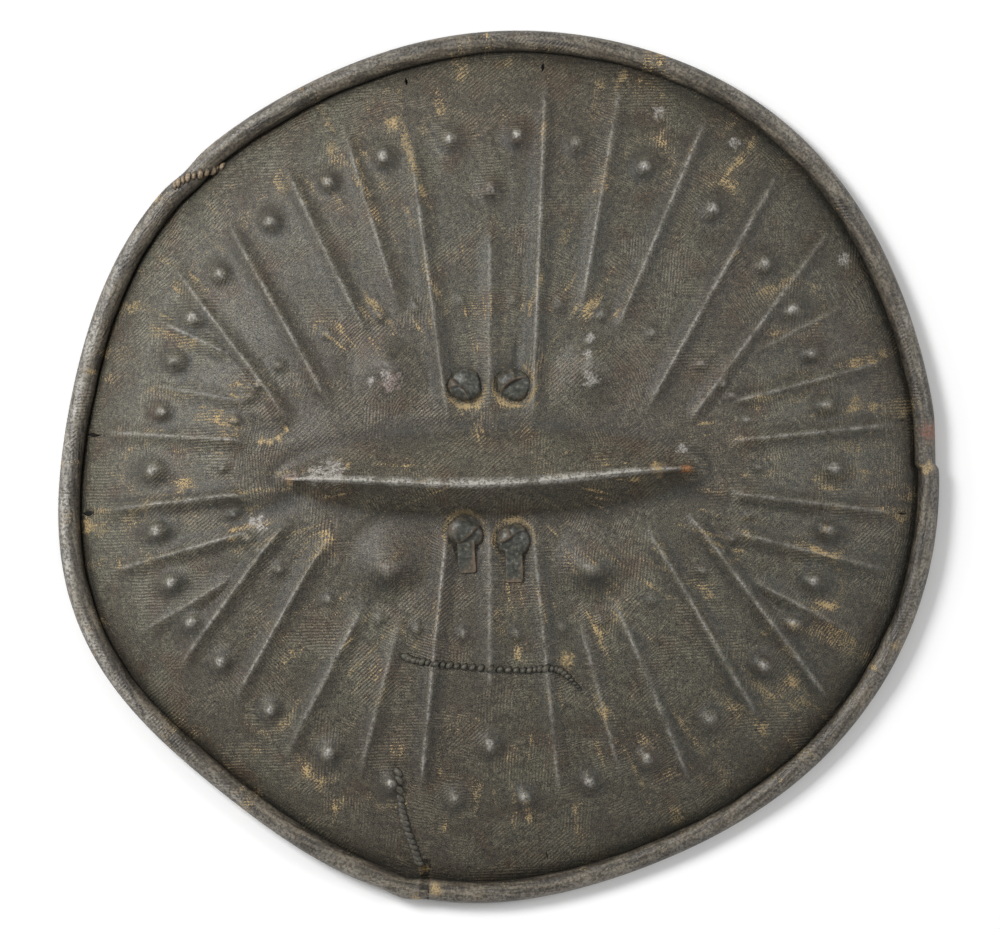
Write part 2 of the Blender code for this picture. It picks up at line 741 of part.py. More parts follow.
def main():
    clear_scene()
    shield = bpy.data.collections.new("hide_shield")
    cutters = bpy.data.collections.new("cutters")
    for collection in (shield, cutters):
        bpy.context.scene.collection.children.link(collection)
    hide_finish = material("aged_hide", HIDE_COLOUR, 0.55)
    strap_finish = material("grip_leather", STRAP_COLOUR, 0.6)
    lace_finish = material("thong", THONG_COLOUR, 0.7)

    mesh = hide_skin()
    hide = add_object("shield_hide", mesh, shield, hide_finish)
    surface = Surface(mesh)

    across = Vector((1, 0, 0))
    slot = (STRAP_WIDTH + 2 * STRAP_PLAY, STRAP_THICKNESS + 2 * STRAP_PLAY, CUT_DEPTH)
    cuts = []
    for label, side in (("left", -GRIP_HALF_SPACING), ("right", GRIP_HALF_SPACING)):
        strap, knots = grip_strap("grip_strap_" + label, surface, side, shield, strap_finish)
        add_boolean(strap, strap_tail("tail_" + label, surface, side, cutters), "UNION")
        for centre, up in knots:
            cuts.append(box_cutter(slot, centre, (across, up.cross(across), up)))

    for degrees in SLIT_BEARINGS:
        bearing = math.radians(degrees)
        cuts.append(lens_cutter(SLIT_LENGTH, SLIT_WIDTH, face_point(SLIT_SHARE, bearing), bearing))

    bearing = math.radians(BREAK_BEARING)
    outer = outline_radius(bearing) + ROLL_RADIUS
    inner = RIM_RADIUS * BREAK_SHARE
    axes = radial_axes(bearing)
    centre = axes[0] * (outer + inner) / 2 + Vector((0, 0, face_height(SLIT_SHARE, bearing)))
    cuts.append(box_cutter((outer - inner, BREAK_WIDTH, BREAK_DEPTH), centre, axes))

    tears = (
        ("lacing_centre", lace_stations(surface, CENTRE_TEAR, CENTRE_STEPS), True),
        ("lacing_lower", lace_stations(surface, LOWER_TEAR, LOWER_STEPS), True),
        ("lacing_rim", roll_stations(RIM_TEAR_STEPS), False),
    )
    for name, *route in tears:
        add_object(name, lacing(name, *route), shield, lace_finish)
        cuts.append(lacing(name + "_seat", *route, grow=GAP))
    # One cut takes them all: the long seats of the lacings graze many facets of the face
    add_boolean(hide, joined("hide_cuts", cuts, cutters), "DIFFERENCE", "MANIFOLD")

    carrier = bpy.data.objects.new("carrier", None)
    low, high = (
        [pick(corner.co[axis] for corner in mesh.vertices) for axis in range(3)] for pick in (min, max)
    )
    carrier.location = (-(low[0] + high[0]) / 2, -(low[1] + high[1]) / 2, -low[2])
    for collection in (shield, cutters):
        for item in collection.objects:
            item.parent = carrier
    shield.objects.link(carrier)


main()
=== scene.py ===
"""A round hide shield with pressed ribs and bosses, lying face up on a pale floor.

The hide is one sheet with a ridge, ribs, bosses and a rolled edge. Two leather straps
pass through it, and three tears are closed with thong. The sections follow the shield
as it is put together: hide, straps, lacings, and then the floor, lights and camera.
"""

import math
import random

import bmesh
import bpy
import numpy as np
from mathutils import Matrix, Vector, noise
from mathutils.bvhtree import BVHTree


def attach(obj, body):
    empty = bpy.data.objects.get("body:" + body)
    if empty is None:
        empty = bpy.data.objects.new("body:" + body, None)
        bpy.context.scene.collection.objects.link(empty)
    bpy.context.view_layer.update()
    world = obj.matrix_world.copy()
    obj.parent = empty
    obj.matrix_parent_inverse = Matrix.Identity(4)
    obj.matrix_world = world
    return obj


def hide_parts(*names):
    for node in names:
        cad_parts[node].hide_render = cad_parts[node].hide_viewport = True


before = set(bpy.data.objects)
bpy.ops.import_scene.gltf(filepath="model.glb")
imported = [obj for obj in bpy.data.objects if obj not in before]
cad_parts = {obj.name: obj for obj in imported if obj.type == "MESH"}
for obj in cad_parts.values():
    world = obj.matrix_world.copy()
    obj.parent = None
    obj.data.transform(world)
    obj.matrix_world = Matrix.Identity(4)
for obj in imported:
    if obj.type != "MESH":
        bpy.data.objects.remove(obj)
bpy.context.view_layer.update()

# The hide. One sheet of thick hide, worked while wet over a form, so that its ridge, ribs
# and bosses stand out of the face and are hollow behind, with its edge rolled forward.
# It dried hard, went dark with handling and smoke, and was worn pale on its crests, which also carry a
# painted highlight; painted shade lies in its hollows, creases and beside its relief.
MIDDLE = Vector((-0.0058, -0.0001, -0.01235))
HIDE = 0.005
RIM = 0.2966
OUTLINE_WAVES = (
    (1, 0.0075, 11),
    (2, 0.0038, 24),
    (3, 0.0018, -51),
    (4, 0.001, -16),
    (5, 0.0029, -19),
    (6, 0.0018, 23),
    (7, 0.0012, -4),
)
RIM_WARP = 0.002
DOME_HEIGHT = 0.05
SHOULDER_HEIGHT = 0.036
END_DROOP = 0.01
RIDGE_HALF = 0.136
RIDGE_HEIGHT = 0.03
RIDGE_END_HEIGHT = 0.008
RIDGE_SHARE = 0.1
RIDGE_CREST = 0.004
RIDGE_HOLLOW = 1.2
RIDGE_END_EASE = 1.3
RIDGE_DROP = 0.0045
RIDGE_TURN = 0.004
RIDGE_TURN_SHARE = 0.35
RIDGE_BOW = 0.007
ROLL = 0.0075
ROLL_LIFT = 0.0025
ROLL_TUCK = 0.55
ROLL_SEAT = 1 - ROLL * (1 + math.sqrt(1 - (ROLL_LIFT / ROLL) ** 2)) / RIM
# The roll is drawn this much thinner and further in, so that its lumps stay within the outline
ROLL_THINNER = 0.0002
ROLL_FURTHER_IN = 0.0001
CREASE_WIDTH = 0.0022
# Bearings of the roll's kink beside the break and of its dent under the tan lacing
KINK_DEGREES = 258.6
DENT_DEGREES = 136
RIB_HEIGHT = 0.0047
RIB_HALF = 0.0086
RIB_CREST = 0.0004
QUARTER_RIBS = (
    (12, 0.29, 6),
    (23.5, 0.37, 14.5),
    (28.5, 0.54, 25),
    (32, 0.22, 36),
    (47, 0.21, 46),
    (61, 0.37, 58),
    (70, 0.39, 69),
    (79, 0.14, 79.5),
)
MIDDLE_RIB = (90, 0.14, 90, 0.56)
QUARTERS = (
    (
        (1, 1, 1), (0, 0.5, 0, 0.5, 1, 1, 3, 3), (0.92, 0.93, 0.88, 0.93, 0.92, 0.93, 0.92, 0.9),
        (0.85, 0.75, 0.6, 0.9, 1.05, 1.1, 1, 1.1),
    ),
    (
        (-1, 1, -1), (-1, -1.5, -1, -1, 0, -1, -1.5, -2), (0.9, 0.8, 0.85, 0.87, 0.82, 0.86, 0.88, 0.78),
        (0.7, 0.45, 0.8, 0.9, 1, 0.9, 0.75, 1.05),
    ),
    (
        (-1, -1, 1), (0.5, 1, 1, 0, 0, -2, 0, 0), (0.9, 0.9, 0.89, 0.84, 0.8, 0.84, 0.78, 0.78),
        (1.2, 0.9, 0.75, 1, 1, 0.8, 0.8, 1.1),
    ),
    (
        (1, -1, -1), (0.5, 0, 0, 0, 0, 1, 0, 0), (0.93, 0.93, 0.92, 0.93, 0.83, 0.86, 0.78, 0.78),
        (0.9, 0.8, 0.8, 1.15, 1.2, 0.95, 0.75, 0.9),
    ),
)
MIDDLE_STRENGTH = 0.7
# Place, size and height of the swellings at the ends of the ridge
LUMPS = (
    (-0.109, -0.0035, 0.016, 0.0026),
    (-0.1346, -0.008, 0.005, 0.0025),
    (0.132, -0.002, 0.005, 0.002),
    (-0.106, 0.017, 0.026, 0.005),
    (0.118, 0.015, 0.028, 0.0036),
)
# Depth, size and seed of the waves that working by hand left in the hide
HAND_WAVES = ((0.001, 0.06, 3.1), (0.0004, 0.024, 5.2), (0.00018, 0.01, 7.3))
# Start, end, half-width and depth of the folds that run from the ridge's ends into the ribs
FOLDS = (
    ((-0.172, -0.0345), (-0.129, -0.02), 0.007, 0.0024),
    ((0.133, -0.017), (0.158, -0.0235), 0.0055, 0.0018),
    ((-0.137, 0.023), (-0.156, 0.029), 0.005, 0.0012),
    ((-0.063, -0.2035), (-0.0635, -0.2075), 0.0035, 0.002),
    ((0.0172, 0.07), (0.0175, 0.08), 0.003, 0.002),
)
RING_SHARE = 0.7365
RING_ROUNDING = 0.022
INNER_SHARE = 0.38
# Share of the way out, half-length, half-width and height of the bosses in each ring
RING_BOSS = (RING_SHARE, 0.0144, 0.0124, 0.0086)
INNER_BOSS = (INNER_SHARE, 0.0078, 0.0068, 0.0028)
AXIS_BOSS_PLACE = 0.1875
AXIS_BOSS = (0.0132, 0.012, 0.0076)
# Share of a small boss that is pressed in behind, its tip's share of the height, and its lean
SMALL_FORM = (0.55, 0.66, 0)
LARGE_BOSS_PLACE = (0.068, 0.063)
LARGE_BOSS_SIZE = (0.026, 0.024)
LARGE_BOSS_HOLLOW = 0.7
LARGE_BOSS_LEAN = 0.28
LARGE_BOSS_CLEAR = 0.036
# Half-width of the pale line on a rib, worn and with a painted highlight, and place and width of the painted
# shade beside it
RIB_WEAR_AND_HIGHLIGHT = 0.002
RIB_PAINTED_SHADE = (0.0058, 0.0028)
# Place and width of the dent and of the painted shade around a knot
KNOT_DENT = (0.012, 0.0028)
KNOT_DENT_DEPTH = 0.0012
KNOT_PAINTED_SHADE = (0.0115, 0.002)
# Place and width, in shares of the way out, of the painted shade below the ridge and above it
SHADE_BELOW_RIDGE = (0.036, 0.032)
SHADE_ABOVE_RIDGE = (0.106, 0.022)
# Step between neighbouring shares when a slope is worked out
SLOPE_STEP = 0.004
KNOT_PLACES = ((-0.0168, 0.055), (0.016, 0.0555), (-0.0168, -0.044), (0.016, -0.049))


def eased(value, low, high):
    """0 below low, 1 above high, and an even curve between."""
    part = np.clip((value - low) / (high - low), 0, 1)
    return part * part * (3 - 2 * part)


def swell(value, middle, width):
    """1 at the middle, falling evenly to nothing on both sides of it."""
    return np.exp(-((value - middle) / width) ** 2)


def turned_axes(east, north, bearing):
    """The same places along a bearing and across it."""
    along, aside = math.cos(bearing), math.sin(bearing)
    return east * along + north * aside, north * along - east * aside


def outline_radius(bearing):
    waves = (depth * np.cos(times * (bearing - math.radians(crest))) for times, depth, crest in OUTLINE_WAVES)
    return RIM + sum(waves)


def oval_axes(share):
    spread = 0.7 * share + 0.3 * share**4
    return RIDGE_HALF + (RIM - RIDGE_HALF) * spread, np.maximum(RIM * share, 1e-6)


def face_plan(share, bearing):
    """Places in plan on the face, from shares of the way out to the rim and bearings."""
    long_half, short_half = oval_axes(share)
    scale = 1 + (outline_radius(bearing) / RIM - 1) * share * share
    along = np.cos(bearing)
    sway = (RIDGE_TURN * along - RIDGE_DROP) * np.maximum(0, 1 - share / RIDGE_TURN_SHARE)
    sway -= RIDGE_BOW * (1 + np.cos(math.pi * along)) / 2 * np.maximum(0, 1 - share / RIDGE_SHARE)
    return np.stack((long_half * along * scale, short_half * np.sin(bearing) * scale + sway), -1)


def face_height(share, bearing):
    """Height of the face without its ribs and bosses."""
    dome = DOME_HEIGHT * (1 - share**2) + SHOULDER_HEIGHT * (1 - share**6)
    along = np.abs(np.cos(bearing))
    rounded = np.sqrt(share**2 + RIDGE_CREST**2) - RIDGE_CREST
    rise = RIDGE_HEIGHT + (RIDGE_END_HEIGHT - RIDGE_HEIGHT) * along**6
    hollow = RIDGE_HOLLOW + RIDGE_END_EASE * along**4
    ridge = rise * np.maximum(0, 1 - rounded / RIDGE_SHARE) ** hollow
    warp = RIM_WARP * share**2 * np.cos(3 * bearing)
    return HIDE + warp + dome + ridge - END_DROOP * along**2 * (1 - share) ** 2


def rib_table():
    """Even bearing, root's bearing and share, tip's bearing, reach and strength of every rib."""
    rows = []
    for (right, up, order), strays, reaches, strengths in QUARTERS:
        quarter = [
            (root, share, tip + stray, reach, strength)
            for (root, share, tip), stray, reach, strength in zip(QUARTER_RIBS, strays, reaches, strengths)
        ]
        quarter = quarter + [(*MIDDLE_RIB, MIDDLE_STRENGTH)] if order == 1 else quarter[::-1]
        for root, share, tip, reach, strength in quarter:
            turned = [
                math.atan2(up * math.sin(angle), right * math.cos(angle)) % math.tau
                for angle in (math.radians(root), math.radians(tip))
            ]
            rows.append((turned[0], share, turned[1], reach, strength))
    even = (np.arange(len(rows)) + 0.5) * math.tau / len(rows)
    return (even, *np.array(rows).T)


RIB_EVEN, RIB_ROOT, RIB_ROOT_SHARE, RIB_TIP, RIB_REACH, RIB_STRENGTH = rib_table()
RIBS = len(RIB_EVEN)
hand = random.Random(11)


def rib_bearing(rib, share):
    """Oval bearings of ribs: straight from root to tip, and spread evenly inside the root."""
    root, root_share = RIB_ROOT[rib], RIB_ROOT_SHARE[rib]
    inside = RIB_EVEN[rib] + (root - RIB_EVEN[rib]) * share / root_share
    long_half, short_half = oval_axes(share)
    start_long, start_short = oval_axes(root_share)
    start_x, start_y = start_long * np.cos(root), start_short * np.sin(root)
    begin_x, begin_y = start_x / long_half, start_y / short_half
    along_x = (RIM * np.cos(RIB_TIP[rib]) - start_x) / long_half
    along_y = (RIM * np.sin(RIB_TIP[rib]) - start_y) / short_half
    reach = along_x**2 + along_y**2
    half = begin_x * along_x + begin_y * along_y
    travel = (np.sqrt(np.maximum(half**2 - reach * (begin_x**2 + begin_y**2 - 1), 0)) - half) / reach
    outside = np.arctan2(begin_y + along_y * travel, begin_x + along_x * travel) % math.tau
    return np.where(share <= root_share, inside, outside)


def between_ribs(rib, place, share):
    """Oval bearing at a place, from 0 to 1, in the gap after a rib."""
    here = rib_bearing(rib, share)
    there = rib_bearing((rib + 1) % RIBS, share)
    there = np.where(there < here, there + math.tau, there)
    return here + (there - here) * place


def ringed(share, rib, place):
    """Shares of rows that are made rounder near the outer ring of bosses."""
    near = eased(share, INNER_SHARE, RING_SHARE - 0.035) * (1 - eased(share, RING_SHARE + 0.035, 0.94))
    return share - near * RING_ROUNDING * np.cos(2 * between_ribs(rib, place, share))


def boss_table():
    """Place, half-length and half-width, height, share of it behind, tip's share and lean of each boss."""
    bosses = []
    every = np.arange(RIBS)
    for share, out, across, height in (RING_BOSS, INNER_BOSS):
        shares = np.full(RIBS, share)
        if share == RING_SHARE:
            shares = ringed(shares, every, 0.5)
        for place in face_plan(shares, between_ribs(every, 0.5, shares)):
            away = math.dist(np.abs(place), LARGE_BOSS_PLACE)
            if away > LARGE_BOSS_CLEAR:
                size = hand.uniform(0.9, 1.12)
                bosses.append((*place, out * size, across * size, height * size, *SMALL_FORM))
    for side in (-1, 1):
        bosses.append((0, side * AXIS_BOSS_PLACE, *AXIS_BOSS, *SMALL_FORM))
        for rise, height, tip in ((-1, 0.0115, 0.18), (1, 0.0085, 0.08)):
            place = (side * LARGE_BOSS_PLACE[0], rise * LARGE_BOSS_PLACE[1])
            bosses.append((*place, *LARGE_BOSS_SIZE, height, LARGE_BOSS_HOLLOW, tip, rise * LARGE_BOSS_LEAN))
    return bosses


BOSSES = boss_table()


def spaced(*stretches):
    """Values from the start of each stretch up to its end, which the next one starts with."""
    values = []
    for start, end, steps in stretches:
        values += [start + (end - start) * step / steps for step in range(steps)]
    return values


half_places = spaced((0, 0.1, 4), (0.1, 0.3, 2), (0.3, 0.5, 4))
COLUMN_PLACES = np.array(half_places + [0.5] + [1 - place for place in half_places[:0:-1]])
COLUMNS = RIBS * len(COLUMN_PLACES)
CREASE = 1 - (ROLL + ROLL * math.cos(ROLL_TUCK) + CREASE_WIDTH) / RIM
FACE_SHARES = spaced(
    (0, 0.1, 14), (0.1, 0.35, 21), (0.35, 0.41, 7), (0.41, 0.7, 26), (0.7, 0.775, 13), (0.775, CREASE, 18)
)
ROLL_TURNS = spaced((math.pi + ROLL_TUCK, -math.pi / 2, 19)) + [-math.pi / 2]
BACK_SHARES = spaced(
    (0, 0.1, 2), (0.1, 0.34, 4), (0.34, 0.42, 2), (0.42, 0.7, 4), (0.7, 0.775, 4), (0.775, 0.945, 3)
) + [0.945]
ROWS = (
    [("face", share) for share in FACE_SHARES] + [("roll", turn) for turn in ROLL_TURNS]
    + [("back", share) for share in reversed(BACK_SHARES)]
)


def ripples(places, size, seed):
    """Soft noise from -1 to 1 at each place."""
    return np.array([noise.noise(Vector((x / size + seed, y / size, seed))) for x, y in places])


def relief(rib, share, bearing, plan):
    """Ribs, bosses and hand work at each place: height, height behind, and masks for the finish, with painted
    shade and painted highlight among them.
    """
    ribs = np.zeros(len(share))
    crest = np.zeros(len(share))
    painted_shade = np.zeros(len(share))
    for side in (0, 1):
        which = (rib + side) % RIBS
        line = face_plan(share, rib_bearing(which, share))
        ahead = face_plan(share + SLOPE_STEP, rib_bearing(which, share + SLOPE_STEP)) - line
        ahead /= np.linalg.norm(ahead, axis=1)[:, None]
        gap = plan - line
        away = np.abs(gap[:, 0] * ahead[:, 1] - gap[:, 1] * ahead[:, 0])
        root, end = RIB_ROOT_SHARE[which], RIB_REACH[which]
        shown = RIB_STRENGTH[which] * eased(share, root - 0.04, root + 0.06)
        shown *= 1 - eased(share, end - 0.08, end)
        rounded = np.sqrt(away**2 + RIB_CREST**2) - RIB_CREST
        ribs = np.maximum(ribs, shown * RIB_HEIGHT * np.maximum(0, 1 - rounded / RIB_HALF) ** 1.6)
        # A rib's crest is worn pale and carries a painted highlight, and painted shade lies along its side
        crest = np.maximum(crest, 0.75 * shown * np.maximum(0, 1 - away / RIB_WEAR_AND_HIGHLIGHT))
        painted_shade = np.maximum(painted_shade, 0.75 * shown * swell(away, *RIB_PAINTED_SHADE))
    front = ribs.copy()
    back = ribs * 0.5
    dust = np.zeros(len(share))
    for x, y, out, across, height, behind, tip, lean in BOSSES:
        bearing = math.atan2(y, x)
        east, north = plan[:, 0] - x, plan[:, 1] - y
        ahead, aside = turned_axes(east, north, bearing)
        away = np.hypot(ahead / out, aside / across)
        back += behind * height * np.maximum(0, 1 - away * 1.2) ** 1.2
        leaning = north - lean * across * np.maximum(0, 1 - away)
        ahead, aside = turned_axes(east, leaning, bearing)
        away = np.hypot(ahead / out, aside / across)
        rounded = np.sqrt(away**2 + 0.05**2) - 0.05
        sharp = np.maximum(0, 1 - np.sqrt((away / 0.62) ** 2 + 0.03) + 0.17) ** 1.5
        front += height * ((1 - tip) * np.maximum(0, 1 - rounded) ** 1.5 + tip * sharp)
        front -= 0.07 * height * swell(away, 1.12, 0.22)
        # Boss tips are worn pale and carry a painted highlight
        tip_wear_and_highlight = (0.2 + 3.2 * tip) * min(1, height / 0.007)
        crest = np.maximum(crest, tip_wear_and_highlight * np.maximum(0, 1 - away / 0.3))
        # Painted shade in a ring around each small boss, heavier on its inner and lower sides, and a painted
        # shadow on the lower side of each large boss, darker on the pair below the ridge
        inner = 0.5 - 0.5 * ahead / np.maximum(np.hypot(ahead, aside), 1e-6)
        below = 0.5 - 0.5 * leaning / np.maximum(np.hypot(east, leaning), 1e-6)
        if lean:
            shade = (0.9 if y < 0 else 0.3) * below * swell(away, 0.5, 0.36)
            painted_shade = np.maximum(painted_shade, np.minimum(shade, 1))
            continue
        small = min(1, out / 0.0115)
        shade = small * (0.4 + 0.3 * inner + 0.3 * below) * swell(away, 0.62, 0.27)
        painted_shade = np.maximum(painted_shade, shade)
        dusty = hand.choice((0, 0.3, 0.6, 0.9, 1.2)) * (1.2 - inner)
        dust = np.maximum(dust, small * dusty * swell(away, 1.35, 0.3))
    for x, y in KNOT_PLACES:
        away = np.hypot(plan[:, 0] - x, plan[:, 1] - y)
        front -= KNOT_DENT_DEPTH * swell(away, *KNOT_DENT)
        below = 0.5 - 0.5 * np.sign(y) * (plan[:, 1] - y) / np.maximum(away, 1e-6)
        crescent = swell(away, 0.0136, 0.0016 + 0.0018 * below)
        dust = np.maximum(dust, (1.2 + 1.6 * below**2) * crescent)
        # Painted shade in a ring around each knot
        painted_shade = np.maximum(painted_shade, swell(away, *KNOT_PAINTED_SHADE))
    for x, y, size, height in LUMPS:
        lump = np.exp(-(((plan[:, 0] - x) / size) ** 2 + ((plan[:, 1] - y) / (0.6 * size)) ** 2))
        front += height * lump
    for start, end, width, depth in FOLDS:
        run = Vector(end) - Vector(start)
        part = ((plan[:, 0] - start[0]) * run.x + (plan[:, 1] - start[1]) * run.y) / run.length_squared
        part = np.clip(part, 0, 1)
        away = np.hypot(plan[:, 0] - start[0] - part * run.x, plan[:, 1] - start[1] - part * run.y)
        sunk = swell(away, 0, width)
        front -= depth * sunk
        # Painted shade in each fold
        painted_shade = np.maximum(painted_shade, sunk * min(1, depth / 0.0022))
    low = 1 - eased(share, 0.0, 0.08)
    waves = sum(depth * ripples(plan, size, seed) for depth, size, seed in HAND_WAVES)
    front += waves * (1 - 0.6 * low)
    along, across = np.cos(bearing), np.sin(bearing)
    middle = 1 - np.abs(along) ** 6
    # The ridge's crest is worn pale and carries a painted highlight; painted shade lies on its lower flank
    # and in the groove above it
    crest = np.maximum(crest, 2.6 * middle**0.5 * np.maximum(0, 1 - share / 0.012))
    under = 1.3 * eased(-across, 0.0, 0.3) * swell(share, *SHADE_BELOW_RIDGE)
    above = eased(across, 0.1, 0.5) * 0.8 * swell(share, *SHADE_ABOVE_RIDGE)
    painted_shade = np.maximum(painted_shade, np.maximum(under, above))
    # A broad darker patch on the face above the ridge
    darker_above_ridge = 0.3 * np.exp(-((plan[:, 0] / 0.15) ** 2) - ((plan[:, 1] - 0.145) / 0.065) ** 2)
    painted_shade = np.maximum(painted_shade, darker_above_ridge)
    dust = np.maximum(dust, 0.35 * swell(share, CREASE, 0.012))
    return front, back, crest, painted_shade, dust


def hide_places(row, column):
    """Places of the skin's corners, and their masks: crest (worn pale, with a painted highlight), painted
    shade, dust, roll and back.
    """
    kinds = np.array([kind for kind, value in ROWS])[row]
    values = np.array([value for kind, value in ROWS])[row]
    rib, step = column // len(COLUMN_PLACES), column % len(COLUMN_PLACES)
    place = COLUMN_PLACES[step]
    places = np.zeros((len(row), 3))
    masks = np.zeros((len(row), 5))

    rolled = kinds == "roll"
    turn = values[rolled]
    bearing = between_ribs(rib[rolled], place[rolled], np.ones(rolled.sum()))
    lumps = np.stack((np.cos(bearing), np.sin(bearing)), -1) * RIM
    bulge = 0.0004 * ripples(lumps, 0.05, 5.5) + 0.0002 * ripples(lumps, 0.015, 1.5)
    thick = ROLL + bulge - ROLL_THINNER
    degrees = np.degrees(bearing) % 360
    kink = 0.0025 * swell(degrees, KINK_DEGREES, 2.2) * (degrees < BREAK_DEGREES)
    dent = -0.0019 * swell(degrees, DENT_DEGREES, 2.4)
    splice = np.where(degrees > 180, degrees - 360, degrees)
    step_in = -0.0022 * eased(splice, 0.0, 0.25) * (1 - eased(splice, 0.5, 8))
    step_in -= 0.001 * swell(splice, 0, 0.22)
    radius = outline_radius(bearing) + kink + dent + step_in - ROLL_FURTHER_IN
    radius += thick * np.cos(turn) - thick
    crease_height = face_height(np.full(len(turn), ROLL_SEAT), bearing)
    level = crease_height + ROLL_LIFT - ROLL + thick * (1 + np.sin(turn))
    places[rolled] = np.stack((radius * np.cos(bearing), radius * np.sin(bearing), level), -1)
    masks[rolled, 3] = 1 - eased(turn, math.pi - 0.2, math.pi + 0.4)
    # Painted shade on the roll's inner side, where it turns in against the face
    masks[rolled, 1] = eased(turn, math.pi * 0.72, math.pi + 0.1)
    # Painted highlight on the roll's upper outer side, strongest on the left
    wear_and_highlight = 0.35 + 0.85 * swell(degrees, 180, 38) + 0.2 * ripples(lumps, 0.03, 8.5)
    masks[rolled, 0] = wear_and_highlight * swell(turn, 1.0, 0.5)

    flat = ~rolled
    share = ringed(values[flat], rib[flat], place[flat])
    bearing = between_ribs(rib[flat], place[flat], share)
    plan = face_plan(share, bearing)
    front, behind, crest, painted_shade, dust = relief(rib[flat], share, bearing, plan)
    height = face_height(share, bearing)
    inner, outer = np.maximum(share - SLOPE_STEP, 0), share + SLOPE_STEP
    outward = face_height(outer, bearing) - face_height(inner, bearing)
    run = np.linalg.norm(face_plan(outer, bearing) - face_plan(inner, bearing), axis=1)
    upright = np.clip(1 / np.sqrt(1 + (outward / np.maximum(run, 1e-6)) ** 2), 0.55, 1)
    upright = np.where(share < 0.02, 0.75, upright)
    backed = kinds[flat] == "back"
    front -= 0.0012 * eased(share, CREASE - 0.02, CREASE)
    rested = np.maximum(height - HIDE / upright + behind, -MIDDLE.z)
    level = np.where(backed, rested, height + front)
    places[flat] = np.column_stack((plan, level))
    masks[flat, 0] = np.where(backed, 0, crest)
    # Painted shade also darkens the face in the crease inside the roll
    masks[flat, 1] = np.where(backed, 0, np.maximum(painted_shade, 0.9 * eased(share, CREASE - 0.03, CREASE)))
    masks[flat, 2] = np.where(backed, 0, dust)
    masks[flat, 4] = backed
    return places + np.array(MIDDLE), masks


MASKS = ("crest", "painted_shade", "dust", "roll", "back")


def hide_skin():
    """The hide as a tube of rows and columns, laid on the shield and closed along the crest."""
    skin = bmesh.new()
    line = [skin.verts.new((1, 0, row)) for row in range(len(ROWS))]
    for low, high in zip(line, line[1:]):
        skin.edges.new((low, high))
    bmesh.ops.spin(
        skin, geom=skin.verts[:] + skin.edges[:], cent=(0, 0, 0), axis=(0, 0, 1),
        angle=math.tau, steps=COLUMNS, use_merge=True,
    )
    corners = np.array([corner.co for corner in skin.verts])
    row = np.rint(corners[:, 2]).astype(int)
    column = np.rint(np.arctan2(corners[:, 1], corners[:, 0]) / math.tau * COLUMNS).astype(int) % COLUMNS
    places, masks = hide_places(row, column)
    layers = [skin.verts.layers.float.new(name) for name in MASKS]
    crests = {0: [], len(ROWS) - 1: []}
    for corner, place, values, which in zip(skin.verts, places.tolist(), masks.tolist(), row.tolist()):
        corner.co = place
        for layer, value in zip(layers, values):
            corner[layer] = value
        if which in crests:
            crests[which].append(corner)
    for crest in crests.values():
        bmesh.ops.remove_doubles(skin, verts=crest, dist=0.00002)
    bmesh.ops.recalc_face_normals(skin, faces=skin.faces)
    if skin.calc_volume(signed=True) < 0:
        bmesh.ops.reverse_faces(skin, faces=skin.faces)
    return skin


def new_piece(name, shape, sharp=50):
    """An object of this mesh, shaded smooth but for its sharp edges."""
    mesh = bpy.data.meshes.new(name)
    shape.to_mesh(mesh)
    shape.free()
    mesh.shade_smooth()
    mesh.set_sharp_from_angle(angle=math.radians(sharp))
    piece = bpy.data.objects.new(name, mesh)
    bpy.context.scene.collection.objects.link(piece)
    return piece


# Bearing, share of the way out, length, width and height of each slit through the hide
SLITS = (
    (6.5, 0.928, 0.005, 0.0008),
    (82.5, 0.918, 0.007, 0.0024),
    (102.2, 0.915, 0.0062, 0.0021),
    (175.4, 0.925, 0.0095, 0.0027),
    (186.6, 0.925, 0.0088, 0.004),
    (278.3, 0.905, 0.0075, 0.0008),
    (353.5, 0.92, 0.0085, 0.001),
)
# Length, width and depth of each strap's slot and of the break through the roll
SLOT = (0.0152, 0.0054, 0.03)
BREAK_DEGREES = 261.1
BREAK_BEARING = math.radians(BREAK_DEGREES)
BREAK = (0.036, 0.0068, 0.09)
BREAK_TURN = math.radians(6)


def lens(cuts, length, width, centre, bearing):
    """A pointed slit through the hide, along the bearing."""
    made = bmesh.ops.create_cone(cuts, cap_ends=True, segments=16, radius1=0.5, radius2=0.5, depth=0.04)
    turned = Matrix.Rotation(bearing, 4, "Z")
    for corner in made["verts"]:
        narrow = 1 - abs(2 * corner.co.x) ** 1.5
        corner.co.y *= narrow + 0.02
        corner.co = centre + turned @ Vector((corner.co.x * length, corner.co.y * width, corner.co.z))


def box(cuts, size, centre, axes):
    """A box whose sides run along the three given directions."""
    made = bmesh.ops.create_cube(cuts, size=1)
    for corner in made["verts"]:
        corner.co = centre + sum((axis * size[i] * corner.co[i] for i, axis in enumerate(axes)), Vector())


class Face:
    """The uncut hide, to seat the other pieces on."""

    def __init__(self, shape):
        self.tree = BVHTree.FromBMesh(shape)

    def top(self, x, y):
        return self.tree.ray_cast(Vector((x, y, 1)), Vector((0, 0, -1)))[0]

    def up(self, x, y, reach=0.006):
        east = self.top(x + reach, y) - self.top(x - reach, y)
        north = self.top(x, y + reach) - self.top(x, y - reach)
        return east.cross(north).normalized()


def knot_seat(x, y):
    """Where a knot sits on the face, and the way up out of the hide there."""
    seat = face.top(x + MIDDLE.x, y + MIDDLE.y)
    up = face.up(seat.x, seat.y, 0.012)
    up.x = 0
    return seat, up.normalized()


skin = hide_skin()
face = Face(skin)
hide = new_piece("hide_of_shield", skin)

